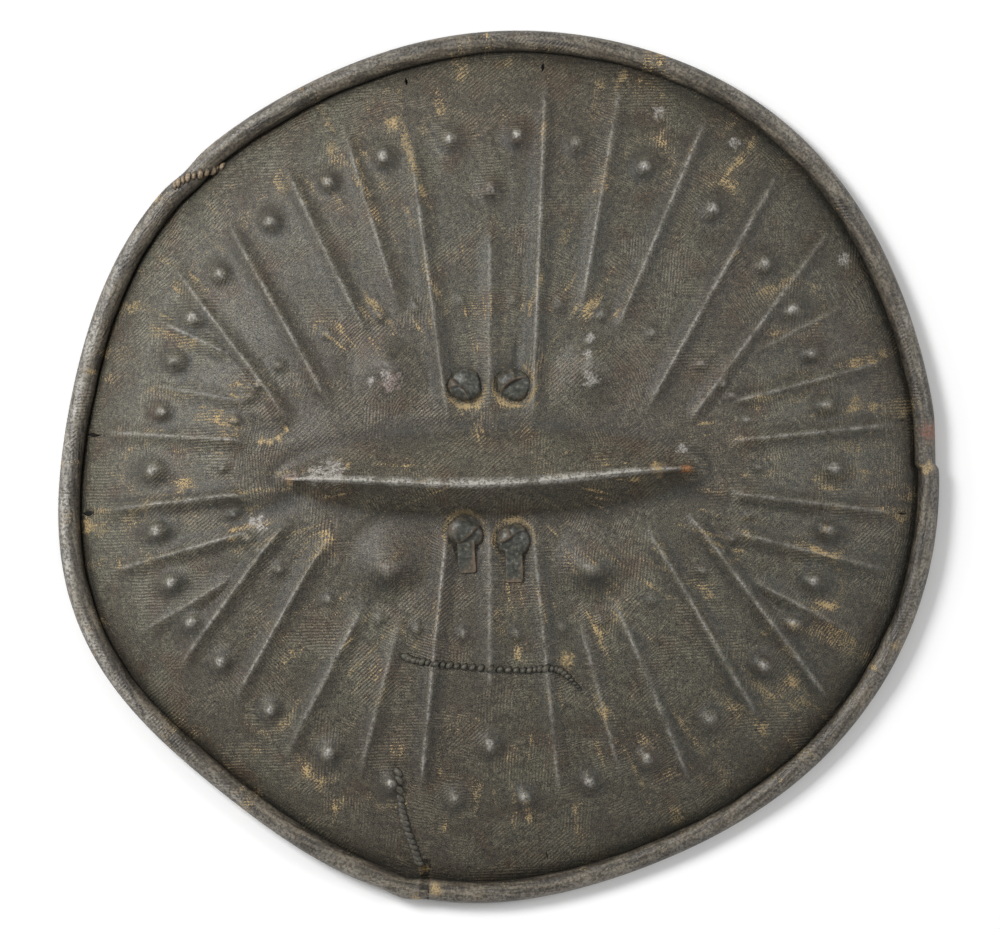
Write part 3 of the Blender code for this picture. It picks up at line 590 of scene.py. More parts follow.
cuts = bmesh.new()
for degrees, share, length, width in SLITS:
    bearing = math.radians(degrees)
    plan = face_plan(share, bearing)
    lens(cuts, length, width, face.top(plan[0] + MIDDLE.x, plan[1] + MIDDLE.y), bearing)
for place in KNOT_PLACES:
    seat, up = knot_seat(*place)
    box(cuts, SLOT, seat, (Vector((1, 0, 0)), up.cross(Vector((1, 0, 0))), up))
out = Vector((math.cos(BREAK_BEARING), math.sin(BREAK_BEARING), 0))
middle = out * (outline_radius(BREAK_BEARING) - 0.01) + Vector((MIDDLE.x, MIDDLE.y, 0.03))
turned = Matrix.Rotation(BREAK_TURN, 3, "Z")
box(cuts, BREAK, middle, (turned @ out, turned @ Vector((-out.y, out.x, 0)), Vector((0, 0, 1))))
bmesh.ops.recalc_face_normals(cuts, faces=cuts.faces)
cutter = new_piece("hide_cuts", cuts)
cut = hide.modifiers.new("cuts", "BOOLEAN")
cut.object = cutter
cut.operation = "DIFFERENCE"
cut.solver = "MANIFOLD"
cut_mesh = bpy.data.meshes.new_from_object(hide.evaluated_get(bpy.context.evaluated_depsgraph_get()))
hide.modifiers.clear()
hide.data = cut_mesh
bpy.data.objects.remove(cutter, do_unlink=True)


def place_node(tree, kind, values=(), **settings):
    """A shader node with its settings, and each socket set to a value or joined to a socket."""
    node = tree.nodes.new("ShaderNode" + kind)
    for name, setting in settings.items():
        setattr(node, name, setting)
    for name, value in dict(values).items():
        if isinstance(value, bpy.types.NodeSocket):
            tree.links.new(value, node.inputs[name])
        else:
            node.inputs[name].default_value = value
    return node


def worked(tree, operation, first, second=0.0, third=0.0, clamp=False):
    node = place_node(tree, "Math", {0: first, 1: second, 2: third}, operation=operation, use_clamp=clamp)
    return node.outputs[0]


def times(tree, first, second, clamp=False):
    return worked(tree, "MULTIPLY", first, second, clamp=clamp)


def times_plus(tree, first, second, third, clamp=False):
    return worked(tree, "MULTIPLY_ADD", first, second, third, clamp)


def between(tree, value, low, high, start=0.0, end=1.0):
    """A value moved smoothly from start to end as it goes from low to high."""
    sockets = {"Value": value, "From Min": low, "From Max": high, "To Min": start, "To Max": end}
    return place_node(tree, "MapRange", sockets, interpolation_type="SMOOTHSTEP").outputs["Result"]


def mixed(tree, share, first, second, blend="MIX"):
    node = place_node(tree, "Mix", {0: share, 6: first, 7: second}, data_type="RGBA", blend_type=blend)
    return node.outputs[2]


def cloud(tree, place, scale, detail=3.0, roughness=0.5, distortion=0.0):
    sockets = {
        "Vector": place, "Scale": scale, "Detail": detail, "Roughness": roughness, "Distortion": distortion,
    }
    return place_node(tree, "TexNoise", sockets).outputs["Fac"]


def turned_place(tree, place, degrees, stretch=(1, 1, 1), shift=(0, 0, 0)):
    sockets = {
        "Vector": place, "Rotation": (0, 0, math.radians(degrees)), "Scale": stretch, "Location": shift,
    }
    return place_node(tree, "Mapping", sockets).outputs["Vector"]


def start_group(name, takes, gives):
    """A node group with these sockets, and its two ends."""
    group = bpy.data.node_groups.new(name, "ShaderNodeTree")
    for label, kind, value in takes:
        socket = group.interface.new_socket(label, in_out="INPUT", socket_type="NodeSocket" + kind)
        socket.default_value = value
    for label, kind in gives:
        group.interface.new_socket(label, in_out="OUTPUT", socket_type="NodeSocket" + kind)
    return group, group.nodes.new("NodeGroupInput"), group.nodes.new("NodeGroupOutput")


def way_from(tree, place, centre):
    """The way in plan from a centre to a place, and its length."""
    near = place_node(tree, "VectorMath", {0: place, 1: centre}, operation="SUBTRACT").outputs[0]
    flat = place_node(tree, "VectorMath", {0: near, 1: (1, 1, 0)}, operation="MULTIPLY").outputs[0]
    return flat, place_node(tree, "VectorMath", {0: flat}, operation="LENGTH").outputs["Value"]


def around_group():
    """Distance from the shield's middle, and places drawn out away from it and around it."""
    group, start, end = start_group(
        "around the middle", (("Place", "Vector", (0, 0, 0)),),
        (("Radius", "Float"), ("Outward", "Vector"), ("Around", "Vector")),
    )
    flat, radius = way_from(group, start.outputs["Place"], (MIDDLE.x, MIDDLE.y, 0))
    way = place_node(group, "VectorMath", {0: flat}, operation="NORMALIZE").outputs[0]
    rise = place_node(group, "CombineXYZ", {2: radius}).outputs[0]
    for name, turn, out in (("Outward", 0.24, 0.22), ("Around", 0.03, 1.0)):
        turned = place_node(group, "VectorMath", {0: way, "Scale": turn}, operation="SCALE").outputs[0]
        raised = place_node(group, "VectorMath", {0: rise, "Scale": out}, operation="SCALE").outputs[0]
        whole = place_node(group, "VectorMath", {0: turned, 1: raised}, operation="ADD").outputs[0]
        group.links.new(whole, end.inputs[name])
    group.links.new(radius, end.inputs["Radius"])
    return group


HATCH_PITCH = 0.0019


def grain_group():
    """Fine grain of worked hide: pores, and comb-like hatching that turns from patch to patch."""
    group, start, end = start_group(
        "hide grain", (("Place", "Vector", (0, 0, 0)), ("Radius", "Float", 0.1)),
        (("Height", "Float"), ("Tone", "Float"), ("Hatch", "Float")),
    )
    place = start.outputs["Place"]
    fine = cloud(group, place, 1500, 2, 0.6)
    skin = cloud(group, place, 300, 4, 0.6)
    bend = cloud(group, place, 55, 2, 0.5)
    rings = times(group, start.outputs["Radius"], math.tau / HATCH_PITCH)
    rings = times_plus(group, bend, 26, rings)
    hatch = times_plus(group, worked(group, "SINE", rings), 0.5, 0.5)
    for degrees, seed in ((4, 3.7), (88, 9.1), (48, 14.2)):
        wave = place_node(
            group, "TexWave",
            {
                "Vector": turned_place(group, place, degrees), "Scale": 150,
                "Distortion": 5.0, "Detail": 2.0, "Detail Scale": 0.25,
            },
            wave_profile="SIN",
        ).outputs["Fac"]
        patch = cloud(group, turned_place(group, place, 0, shift=(seed, seed, 0)), 15, 2)
        here = between(group, patch, 0.5, 0.6)
        hatch = place_node(group, "Mix", {0: here, 2: hatch, 3: wave}).outputs[0]
    broken = times_plus(group, cloud(group, place, 38, 2, 0.5), 0.6, times(group, skin, 0.4))
    hatch = times(group, hatch, between(group, broken, 0.42, 0.58, 0.1, 1.0))
    height = times(group, skin, 1.1)
    height = times_plus(group, fine, 0.5, height)
    height = times_plus(group, hatch, 0.75, height)
    group.links.new(height, end.inputs["Height"])
    tone = times_plus(group, fine, 0.78, times(group, skin, 0.22))
    group.links.new(tone, end.inputs["Tone"])
    group.links.new(hatch, end.inputs["Hatch"])
    return group


def dust_group():
    """Ochre dust in the grain: flecks along the hatching, thicker in streaks and where Amount says."""
    group, start, end = start_group(
        "ochre dust",
        (
            ("Place", "Vector", (0, 0, 0)), ("Outward", "Vector", (0, 0, 0)),
            ("Amount", "Float", 0.0), ("Hatch", "Float", 0.0),
        ),
        (("Mask", "Float"),),
    )
    place = start.outputs["Place"]
    patch = between(group, cloud(group, place, 13, 3, 0.55), 0.38, 0.56)
    small = between(group, cloud(group, place, 60, 3, 0.6), 0.49, 0.66)
    streak = between(group, cloud(group, start.outputs["Outward"], 95, 2, 0.5), 0.53, 0.63)
    amount = times(group, start.outputs["Amount"], 0.15)
    amount = times_plus(group, times(group, patch, streak), 0.17, amount)
    amount = times_plus(group, times(group, patch, small), 0.12, amount)
    amount = times_plus(group, patch, 0.02, amount)
    amount = times_plus(group, start.outputs["Hatch"], 0.13, amount)
    flecks = cloud(group, place, 1100, 2, 0.65)
    low = worked(group, "SUBTRACT", 0.795, amount)
    group.links.new(between(group, flecks, low, worked(group, "ADD", low, 0.07)), end.inputs["Mask"])
    return group


def spot_group():
    """A ragged spot in plan, broken by the grain, for one mark."""
    group, start, end = start_group(
        "ragged spot",
        (("Place", "Vector", (0, 0, 0)), ("Centre", "Vector", (0, 0, 0)), ("Size", "Float", 0.01)),
        (("Mask", "Float"),),
    )
    place = start.outputs["Place"]
    away = way_from(group, place, start.outputs["Centre"])[1]
    away = worked(group, "DIVIDE", away, start.outputs["Size"])
    edge = times_plus(group, cloud(group, place, 260, 3, 0.7), 3.4, -1.7)
    edge = between(group, worked(group, "ADD", away, edge), 1.15, 0.25)
    broken = between(group, cloud(group, place, 800, 3, 0.6), 0.4, 0.56, 0.15, 1.0)
    group.links.new(times(group, edge, broken), end.inputs["Mask"])
    return group


AROUND = around_group()
GRAIN = grain_group()
DUST = dust_group()
SPOT = spot_group()

# Marks on the face, by their place from the middle of the ridge: size and colour
PALE = (0.36, 0.34, 0.31, 1)
PINKISH = (0.28, 0.22, 0.2, 1)
OCHRE = (0.42, 0.3, 0.14, 1)
ORANGE = (0.5, 0.19, 0.05, 1)
REDDISH = (0.2, 0.07, 0.04, 1)
MARKS = (
    (-0.0666, 0.0585, 0.008, PINKISH),
    (-0.07, 0.062, 0.005, PALE),
    (-0.08, 0.0578, 0.003, PALE),
    (0.067, 0.06, 0.006, PALE),
    (0.0655, 0.076, 0.004, PALE),
    (0.0672, 0.0865, 0.0036, PALE),
    (0.1142, 0.2407, 0.004, PALE),
    (0.1652, 0.2203, 0.004, PALE),
    (0.24, 0.1408, 0.0045, PALE),
    (-0.106, -0.003, 0.0095, PALE),
    (-0.118, -0.006, 0.007, PALE),
    (-0.1346, -0.008, 0.0052, PINKISH),
    (-0.1346, -0.01, 0.003, OCHRE),
    (-0.095, 0.0014, 0.0024, OCHRE),
    (-0.137, 0.0245, 0.0028, OCHRE),
    (-0.141, 0.02, 0.0028, OCHRE),
    (-0.1475, 0.0175, 0.003, OCHRE),
    (-0.154, 0.0165, 0.003, OCHRE),
    (-0.156, -0.038, 0.006, PALE),
    (0.132, -0.0014, 0.0045, ORANGE),
    (0.129, 0.0125, 0.004, PALE),
    (0.112, -0.0007, 0.005, OCHRE),
    (0.2985, 0.0238, 0.0075, REDDISH),
    (0.2965, -0.001, 0.005, OCHRE),
    (-0.0372, -0.2862, 0.0046, OCHRE),
    (-0.0495, -0.293, 0.004, OCHRE),
    (-0.0449, -0.272, 0.004, OCHRE),
    (-0.272, -0.04, 0.006, OCHRE),
    (-0.065, 0.232, 0.006, OCHRE),
    (0.0505, -0.13, 0.006, OCHRE),
)


def new_material(name):
    """A material, its tree and its main shader, with Object coordinates."""
    made = bpy.data.materials.new(name)
    made.use_nodes = True
    tree = made.node_tree
    place = tree.nodes.new("ShaderNodeTexCoord").outputs["Object"]
    return made, tree, tree.nodes["Principled BSDF"], place


def mask(tree, name):
    return place_node(tree, "Attribute", attribute_name=name, attribute_type="GEOMETRY").outputs["Fac"]


def shaded(tree, colour, shade):
    """A colour made darker or lighter by a value."""
    grey = place_node(tree, "CombineColor", {0: shade, 1: shade, 2: shade}).outputs[0]
    return mixed(tree, 1.0, colour, grey, "MULTIPLY")


def set_finish(tree, shader, colour, rough, height, strength, depth):
    """Give the shader its colour, roughness and fine relief."""
    bump = place_node(tree, "Bump", {"Height": height, "Strength": strength, "Distance": depth})
    values = {"Base Color": colour, "Roughness": rough, "Normal": bump.outputs["Normal"]}
    for socket, value in values.items():
        tree.links.new(value, shader.inputs[socket])


# Colours of the hide, of its rolled edge, and of the dust and grit on them, with the painted shade on both
# and the worn pale colour that also serves as painted highlight
HIDE_BROWN = (0.058, 0.049, 0.034, 1)
HIDE_GREY = (0.067, 0.062, 0.043, 1)
HIDE_STAIN = (0.052, 0.038, 0.024, 1)
HIDE_PAINTED_SHADE = (0.011, 0.01, 0.008, 1)
HIDE_RUBBED_AND_HIGHLIGHT = (0.37, 0.355, 0.32, 1)
ROLL_DARK = (0.036, 0.029, 0.021, 1)
ROLL_PALE = (0.118, 0.1, 0.074, 1)
ROLL_PAINTED_SHADE = (0.01, 0.009, 0.007, 1)
DUST_DARK = (0.27, 0.2, 0.1, 1)
DUST_PALE = (0.5, 0.36, 0.17, 1)
GRIT = (0.42, 0.39, 0.29, 1)


def hide_material():
    made, tree, shader, place = new_material("aged hide")
    crest, painted_shade, dust, roll, back = (mask(tree, name) for name in MASKS)
    around = place_node(tree, "Group", {"Place": place}, node_tree=AROUND).outputs
    grain = place_node(tree, "Group", {"Place": place, "Radius": around["Radius"]}, node_tree=GRAIN)
    tone, hatch = grain.outputs["Tone"], grain.outputs["Hatch"]
    broad = cloud(tree, place, 9, 4, 0.55)
    patchy = cloud(tree, place, 40, 4, 0.6)
    lighter = between(tree, broad, 0.35, 0.65)
    colour = mixed(tree, lighter, HIDE_BROWN, HIDE_GREY)
    colour = mixed(tree, between(tree, patchy, 0.45, 0.72), colour, HIDE_STAIN)
    colour = shaded(tree, colour, between(tree, tone, 0.35, 0.65, 0.05, 2.1))
    colour = shaded(tree, colour, between(tree, hatch, 0.0, 1.0, 0.83, 1.5))
    # Painted shade on the face, broken a little by the patchy stain
    dark = times(tree, painted_shade, between(tree, patchy, 0.2, 0.75, 1.0, 0.6), clamp=True)
    colour = mixed(tree, times(tree, dark, 0.8), colour, HIDE_PAINTED_SHADE)

    speckle = cloud(tree, place, 520, 4, 0.65)
    smear = cloud(tree, turned_place(tree, place, 20, (1, 0.4, 1)), 90, 3, 0.6)
    strands = cloud(tree, around["Around"], 330, 4, 0.6)
    lighter = between(tree, strands, 0.36, 0.64)
    roll_tone = mixed(tree, lighter, ROLL_DARK, ROLL_PALE)
    roll_tone = shaded(tree, roll_tone, between(tree, patchy, 0.3, 0.7, 1.25, 0.7))
    roll_tone = shaded(tree, roll_tone, between(tree, speckle, 0.38, 0.6, 0.55, 1.3))
    # Painted shade on the roll
    roll_tone = mixed(tree, times(tree, painted_shade, 0.9), roll_tone, ROLL_PAINTED_SHADE)
    colour = mixed(tree, roll, colour, roll_tone)

    # Crests worn pale, with a painted highlight laid over them and over the roll's outer side
    wear_and_highlight = times(tree, crest, between(tree, smear, 0.32, 0.64, 0.2, 1.0))
    wear_and_highlight = times(tree, wear_and_highlight, between(tree, speckle, 0.42, 0.56, 0.2, 1.0), clamp=True)
    colour = mixed(tree, times(tree, wear_and_highlight, 0.85), colour, HIDE_RUBBED_AND_HIGHLIGHT)

    clean = worked(tree, "SUBTRACT", 1.0, times(tree, back, 0.75))
    values = {"Place": place, "Outward": around["Outward"], "Amount": dust, "Hatch": hatch}
    flecks = place_node(tree, "Group", values, node_tree=DUST).outputs["Mask"]
    flecks = times(tree, flecks, times(tree, clean, worked(tree, "SUBTRACT", 1.0, dark)))
    ochre = mixed(tree, between(tree, patchy, 0.35, 0.65), DUST_DARK, DUST_PALE)
    colour = mixed(tree, times(tree, flecks, 0.85), colour, ochre)
    grit = between(tree, cloud(tree, place, 1050, 2, 0.5), 0.705, 0.75)
    colour = mixed(tree, times(tree, grit, times(tree, clean, 0.7)), colour, GRIT)
    for x, y, size, tint in MARKS:
        values = {"Place": place, "Centre": (x + MIDDLE.x, y + MIDDLE.y, 0), "Size": size}
        spot = place_node(tree, "Group", values, node_tree=SPOT).outputs["Mask"]
        spot = times(tree, spot, times(tree, clean, 0.8))
        colour = mixed(tree, spot, colour, tint)

    rough = between(tree, tone, 0.35, 0.65, 0.6, 0.42)
    rough = times_plus(tree, wear_and_highlight, -0.14, rough)
    rough = times_plus(tree, roll, -0.06, rough)
    rough = times_plus(tree, dark, 0.15, rough)
    rough = times_plus(tree, flecks, 0.3, rough, clamp=True)
    height = times_plus(tree, flecks, 0.3, grain.outputs["Height"])
    height = times_plus(tree, patchy, 2.0, height)
    height = times_plus(tree, times(tree, strands, roll), 1.6, height)
    set_finish(tree, shader, colour, rough, height, 0.9, 0.0003)
    return made


hide.data.materials.clear()
hide.data.materials.append(hide_material())
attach(hide, "root")
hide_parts("shield_hide")

# The grip straps. Two flat strips of dark, folded leather side by side, one to each side of
# the middle. Each goes in through a slot above the ridge, hangs behind it as a hand grip and
# comes out below, where a fold of the strip itself is drawn tight as a knot on the face.
STRAP_WIDTH = 0.014
STRAP_THICKNESS = 0.0038
STRAP_STATIONS = 28
GRIP_HANG = 0.03
KNOT_RADIUS = 0.0108
KNOT_RISE = 0.0072
KNOT_ROWS = 16
KNOT_COLUMNS = 56
TAIL_STATIONS = 14
# For each knot: its folds (bearing of the line, offset, depth, step across), and its tail's
# length, width and turn. The upper knots have no tail on the face.
KNOTS = (
    (((128, 0.3, 0.0007, 0.0026), (20, 0.02, 0.0006, 0.0012)), None),
    (((30, 0.02, 0.0005, 0.0028), (118, -0.3, 0.0004, 0.0007)), None),
    (((34, -0.3, 0.0007, 0.0026), (112, 0.4, 0.0004, 0.0006)), (0.0268, 0.0122, 4)),
    (((22, 0.22, 0.0006, 0.0022), (104, 0.00, 0.0006, 0.0014)), (0.028, 0.012, 1)),
)
FOLD_SWAY = 0.1
FOLD_BENDS = 2.6
KNOT_NECK = 0.0022
# Length, width and turn of each knot's oval, in radii and degrees
KNOT_SHAPES = ((1.00, 1.02, 20), (1.06, 0.96, -30), (1.14, 0.9, -22), (1.02, 1.02, 0))


def add_tube(shape, places):
    """A closed tube in the shape, from an array of rows of places around it."""
    before = set(shape.verts)
    line = [shape.verts.new((1, 0, row)) for row in range(len(places))]
    edges = [shape.edges.new(pair) for pair in zip(line, line[1:])]
    columns = len(places[0])
    bmesh.ops.spin(
        shape, geom=line + edges, cent=(0, 0, 0), axis=(0, 0, 1),
        angle=math.tau, steps=columns, use_merge=True,
    )
    made = [corner for corner in shape.verts if corner not in before]
    for corner in made:
        row = round(corner.co.z)
        column = round(math.atan2(corner.co.y, corner.co.x) / math.tau * columns) % columns
        corner.co = places[row][column]
    open_edges = [edge for corner in made for edge in corner.link_edges if edge.is_boundary]
    bmesh.ops.holes_fill(shape, edges=list(set(open_edges)), sides=columns)
    return made


def band_rows(stations, width, thickness):
    """Rows around a flat band: each station is a centre, a direction across and one up."""
    rows = []
    for centre, across, up, grow in stations:
        row = []
        for step in range(16):
            turn = math.tau * (step + 0.5) / 16
            wide = math.copysign(abs(math.cos(turn)) ** 0.35, math.cos(turn)) * width / 2 * grow
            high = math.copysign(abs(math.sin(turn)) ** 0.6, math.sin(turn)) * thickness / 2 * grow
            row.append(centre + across * wide + up * high)
        rows.append(row)
    return rows


def curved(points, share):
    """A place on the smooth curve that these four points pull."""
    pulls = ((1 - share) ** 3, 3 * share * (1 - share) ** 2, 3 * share**2 * (1 - share), share**3)
    return sum((point * pull for point, pull in zip(points, pulls)), Vector())


def fold_places(folds, u, v):
    """How far a place on a knot is from each fold. The first runs across, the others start from it."""
    found = []
    for bearing, offset, depth, step in folds:
        along, across = turned_axes(u, v, math.radians(bearing))
        away = across - offset + FOLD_SWAY * math.sin(FOLD_BENDS * along + bearing)
        reach = 1 / (1 + math.exp(-found[0][0] / 0.04)) if found else 1
        found.append((away, reach, depth, step))
    return found


def knot_rows(seat, up, folds, size, form):
    """Rows from the top of a folded knot, out over its edge and down to the hide."""
    east = Vector((1, 0, 0))
    north = up.cross(east).normalized()
    rows = []
    for row in range(KNOT_ROWS + 3):
        share = min(row / KNOT_ROWS, 1) * 0.999 + 0.001
        places = []
        for column in range(KNOT_COLUMNS):
            turn = math.tau * column / KNOT_COLUMNS
            long, wide, tilt = form
            tilted = turn - math.radians(tilt)
            edge = 1 / math.hypot(math.cos(tilted) / long, math.sin(tilted) / wide)
            edge += 0.04 * math.cos(3 * turn + 2 * size) + 0.025 * math.cos(5 * turn - 3 * size)
            u, v = share * math.cos(turn), share * math.sin(turn)
            high = KNOT_RISE * (0.3 + 0.7 * (1 - share**2.4) ** 0.6)
            for away, reach, depth, step in fold_places(folds, u, v):
                fade = reach * (1 - 0.6 * share**4)
                high -= depth * fade * math.exp(-((away / 0.07) ** 2))
                high += step * fade * (1 / (1 + math.exp(-away / 0.03)) - 0.5)
            high += 0.0005 * noise.noise(Vector((u * 2.2 + size, v * 2.2, size)))
            if row > KNOT_ROWS:
                high -= KNOT_NECK * (row - KNOT_ROWS)
                u, v = u * 0.96, v * 0.96
            places.append(seat + (east * u + north * v) * KNOT_RADIUS * edge + up * high)
        rows.append(places)
    return rows


def add_mask(shape, name, corners, value):
    layer = shape.verts.layers.float.get(name) or shape.verts.layers.float.new(name)
    for corner in corners:
        corner[layer] = value(corner.co)


def strap_piece(name, which):
    """One strap with its two knots and its lower tail."""
    shape = bmesh.new()
    shape.verts.layers.float.new("edge")
    shape.verts.layers.float.new("fold")
    seats = [knot_seat(*KNOT_PLACES[knot]) for knot in which]
    (high, high_up), (low, low_up) = seats
    ends = [high + high_up * 0.002, high - high_up * 0.012, low - low_up * 0.012, low + low_up * 0.002]
    pulls = (ends[1], ends[1] - high_up * GRIP_HANG, ends[2] - low_up * GRIP_HANG, ends[2])
    line = [curved(pulls, step / (STRAP_STATIONS - 1)) for step in range(STRAP_STATIONS)]
    line = [ends[0], *line, ends[3]]
    across = Vector((1, 0, 0))
    stations = []
    for step, centre in enumerate(line):
        ahead = line[min(step + 1, len(line) - 1)] - line[max(step - 1, 0)]
        if step in (0, len(line) - 1):
            ahead = ends[1] - ends[0] if step == 0 else ends[3] - ends[2]
        centre = centre + across * 0.0004 * math.sin(step * 0.8)
        stations.append((centre, across, ahead.cross(across).normalized(), 1))
    add_tube(shape, band_rows(stations, STRAP_WIDTH, STRAP_THICKNESS))
    for knot, (seat, up) in zip(which, seats):
        folds, tail = KNOTS[knot]
        sunk = seat - up * 0.001
        made = add_tube(shape, knot_rows(sunk, up, folds, knot + 1.3, KNOT_SHAPES[knot]))
        north = up.cross(across).normalized()

        def near_fold(place, beside, width):
            """How near a place is to a line beside one of the knot's folds."""
            u, v = ((place - seat).dot(axis) / KNOT_RADIUS for axis in (across, north))
            near = fold_places(folds, u, v)
            return max(reach * math.exp(-((away - beside) / width) ** 2) for away, reach, _, _ in near)

        def rubbed_share(place):
            rim = (math.dist(place, seat) / KNOT_RADIUS - 0.88) / 0.2
            return max(0.8 * near_fold(place, 0.1, 0.07), 0.4 * max(0, min(1, rim)))

        # The fold mask places painted shade along each fold of a knot
        add_mask(shape, "fold", made, lambda place: near_fold(place, -0.06, 0.1))
        add_mask(shape, "edge", made, rubbed_share)
        if not tail:
            continue
        length, width, turn = tail
        heading = Vector((math.sin(math.radians(turn)), -math.cos(math.radians(turn)), 0))
        stations = []
        for step in range(TAIL_STATIONS):
            share = step / (TAIL_STATIONS - 1)
            plan = seat + heading * length * (0.12 + 0.88 * share)
            on_face = face.top(plan.x, plan.y)
            rise = 0.0013 + 0.0012 * (1 - share) + 0.0006 * math.sin(5 * share)
            side = (across + Vector((0, math.sin(math.radians(turn)), 0))).normalized()
            grow = 1 - 0.1 * (step == TAIL_STATIONS - 1) - 0.05 * math.sin(math.pi * share)
            stations.append((on_face + face.up(plan.x, plan.y) * rise, side, face.up(plan.x, plan.y), grow))
        made = add_tube(shape, band_rows(stations, width, 0.0026))
        end = stations[-1][0]

        def tail_edge(place):
            aside = abs((place - seat).dot(across)) / (width / 2)
            ahead = 1 - abs(place.y - end.y) / 0.003
            return max(0, min(1, max((aside - 0.72) / 0.25, ahead)))

        add_mask(shape, "edge", made, tail_edge)
    bmesh.ops.recalc_face_normals(shape, faces=shape.faces)
    return new_piece(name, shape, 60)


LEATHER_DARK = (0.03, 0.032, 0.025, 1)
LEATHER_GREEN = (0.056, 0.055, 0.043, 1)
LEATHER_WORN = (0.15, 0.1, 0.062, 1)
LEATHER_FOLD_SHADE = (0.009, 0.008, 0.006, 1)
LEATHER_GLINT = (0.2, 0.19, 0.16, 1)


def strap_material():
    """Dull grey-green leather with painted shade in its folds and painted glints, red-brown and pale where
    its edges are worn.
    """
    made, tree, shader, place = new_material("folded leather")
    edge, fold = mask(tree, "edge"), mask(tree, "fold")
    skin = cloud(tree, place, 420, 4, 0.6)
    cloudy = cloud(tree, place, 110, 3, 0.6)
    lighter = between(tree, cloudy, 0.35, 0.65)
    colour = mixed(tree, lighter, LEATHER_DARK, LEATHER_GREEN)
    colour = shaded(tree, colour, between(tree, skin, 0.32, 0.68, 0.4, 1.6))
    worn = times(tree, edge, between(tree, cloudy, 0.3, 0.62, 0.2, 0.9))
    colour = mixed(tree, worn, colour, LEATHER_WORN)
    # Painted shade in the folds, then painted glints
    colour = mixed(tree, times(tree, fold, 0.6), colour, LEATHER_FOLD_SHADE)
    glint = times(tree, between(tree, skin, 0.58, 0.68), 0.45)
    colour = mixed(tree, glint, colour, LEATHER_GLINT)
    set_finish(tree, shader, colour, between(tree, skin, 0.3, 0.7, 0.55, 0.38), skin, 0.8, 0.0004)
    return made


leather = strap_material()
for name, which, node in (
    ("left_grip_strap", (0, 2), "grip_strap_left"), ("right_grip_strap", (1, 3), "grip_strap_right"),
):
    strap = strap_piece(name, which)
    strap.data.materials.append(leather)
    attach(strap, "root")
    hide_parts(node)

# The lacings. Three tears in the hide are closed with a thin twisted thong, whipped over the
# tear in close slanting stitches that were drawn tight, so that they stand as a row of beads.
# Two have gone as dark as the hide, and the one over the rolled edge is still tan.
STITCH_COLUMNS = 12
STITCH_ROWS = 9
# Each lacing: the line of its tear from the middle of the ridge, stitches, half-length,
# half-width and rise of a stitch, slant against the line, and the share at which it fades out
LACINGS = {
    "lacing_centre": (
        (
            (-0.0578, -0.1265), (-0.05, -0.13), (-0.02, -0.1338),
            (0.02, -0.1365), (0.0452, -0.136), (0.061, -0.15),
        ),
        35, 0.0036, 0.0018, 0.0017, 48, 0.84,
    ),
    "lacing_lower": (
        ((-0.062, -0.204), (-0.06, -0.225), (-0.0575, -0.24), (-0.052, -0.256), (-0.0478, -0.269)),
        15, 0.0044, 0.0025, 0.0004, 32, 1.2,
    ),
    "lacing_rim": (
        ((-0.214, 0.1905), (-0.205, 0.196), (-0.192, 0.2), (-0.18, 0.204)),
        10, 0.0042, 0.0016, 0.0017, 62, 1.2,
    ),
}


def along_line(points, share):
    """Place and direction at a share of the way along a smooth line through the points."""
    where = share * (len(points) - 1)
    start = min(int(where), len(points) - 2)
    near = [Vector(points[max(0, min(len(points) - 1, start + step))]) for step in (-1, 0, 1, 2)]
    part = where - start
    place = 0.5 * (
        2 * near[1] + (near[2] - near[0]) * part
        + (2 * near[0] - 5 * near[1] + 4 * near[2] - near[3]) * part**2
        + (3 * near[1] - near[0] - 3 * near[2] + near[3]) * part**3
    )
    return place, (near[2] - near[1]).normalized()


def stitch_rows(seat, ahead, aside, up, sizes):
    """Rows along one stitch: a rounded bead that bends down into the hide at both ends."""
    length, width, rise = sizes
    rows = []
    for row in range(STITCH_ROWS):
        share = 2 * row / (STITCH_ROWS - 1) - 1
        full = math.sqrt(max(0, 1 - 0.97 * share**2))
        centre = seat + ahead * length * share + up * (rise * (1 - 1.5 * share**2) - 0.0004)
        row_places = []
        for column in range(STITCH_COLUMNS):
            turn = math.tau * column / STITCH_COLUMNS
            row_places.append(centre + (aside * math.cos(turn) + up * math.sin(turn)) * width * full)
        rows.append(row_places)
    return rows


def lacing_piece(name, points, stitches, length, width, rise, slant, fade):
    shape = bmesh.new()
    shape.verts.layers.float.new("top")
    for step in range(stitches):
        share = (step + 0.5) / stitches
        plan, line = along_line(points, share)
        seat = face.top(plan.x + MIDDLE.x, plan.y + MIDDLE.y)
        up = face.up(seat.x, seat.y, 0.002)
        turned = Matrix.Rotation(math.radians(slant + hand.uniform(-5, 5)), 3, "Z") @ line.to_3d()
        ahead = (turned - up * turned.dot(up)).normalized()
        aside = up.cross(ahead)
        size = hand.uniform(0.88, 1.1) * (1 - 0.45 * max(0, share - fade) / max(1 - fade, 0.01))
        sizes = (length * size, width * size, rise * size)
        made = add_tube(shape, stitch_rows(seat, ahead, aside, up, sizes))
        # The top mask gives each place's height on its stitch, for painted light and shade
        add_mask(shape, "top", made, lambda place: max(0, min(1, (place - seat).dot(up) / (rise + width))))
    bmesh.ops.recalc_face_normals(shape, faces=shape.faces)
    return new_piece(name, shape, 60)


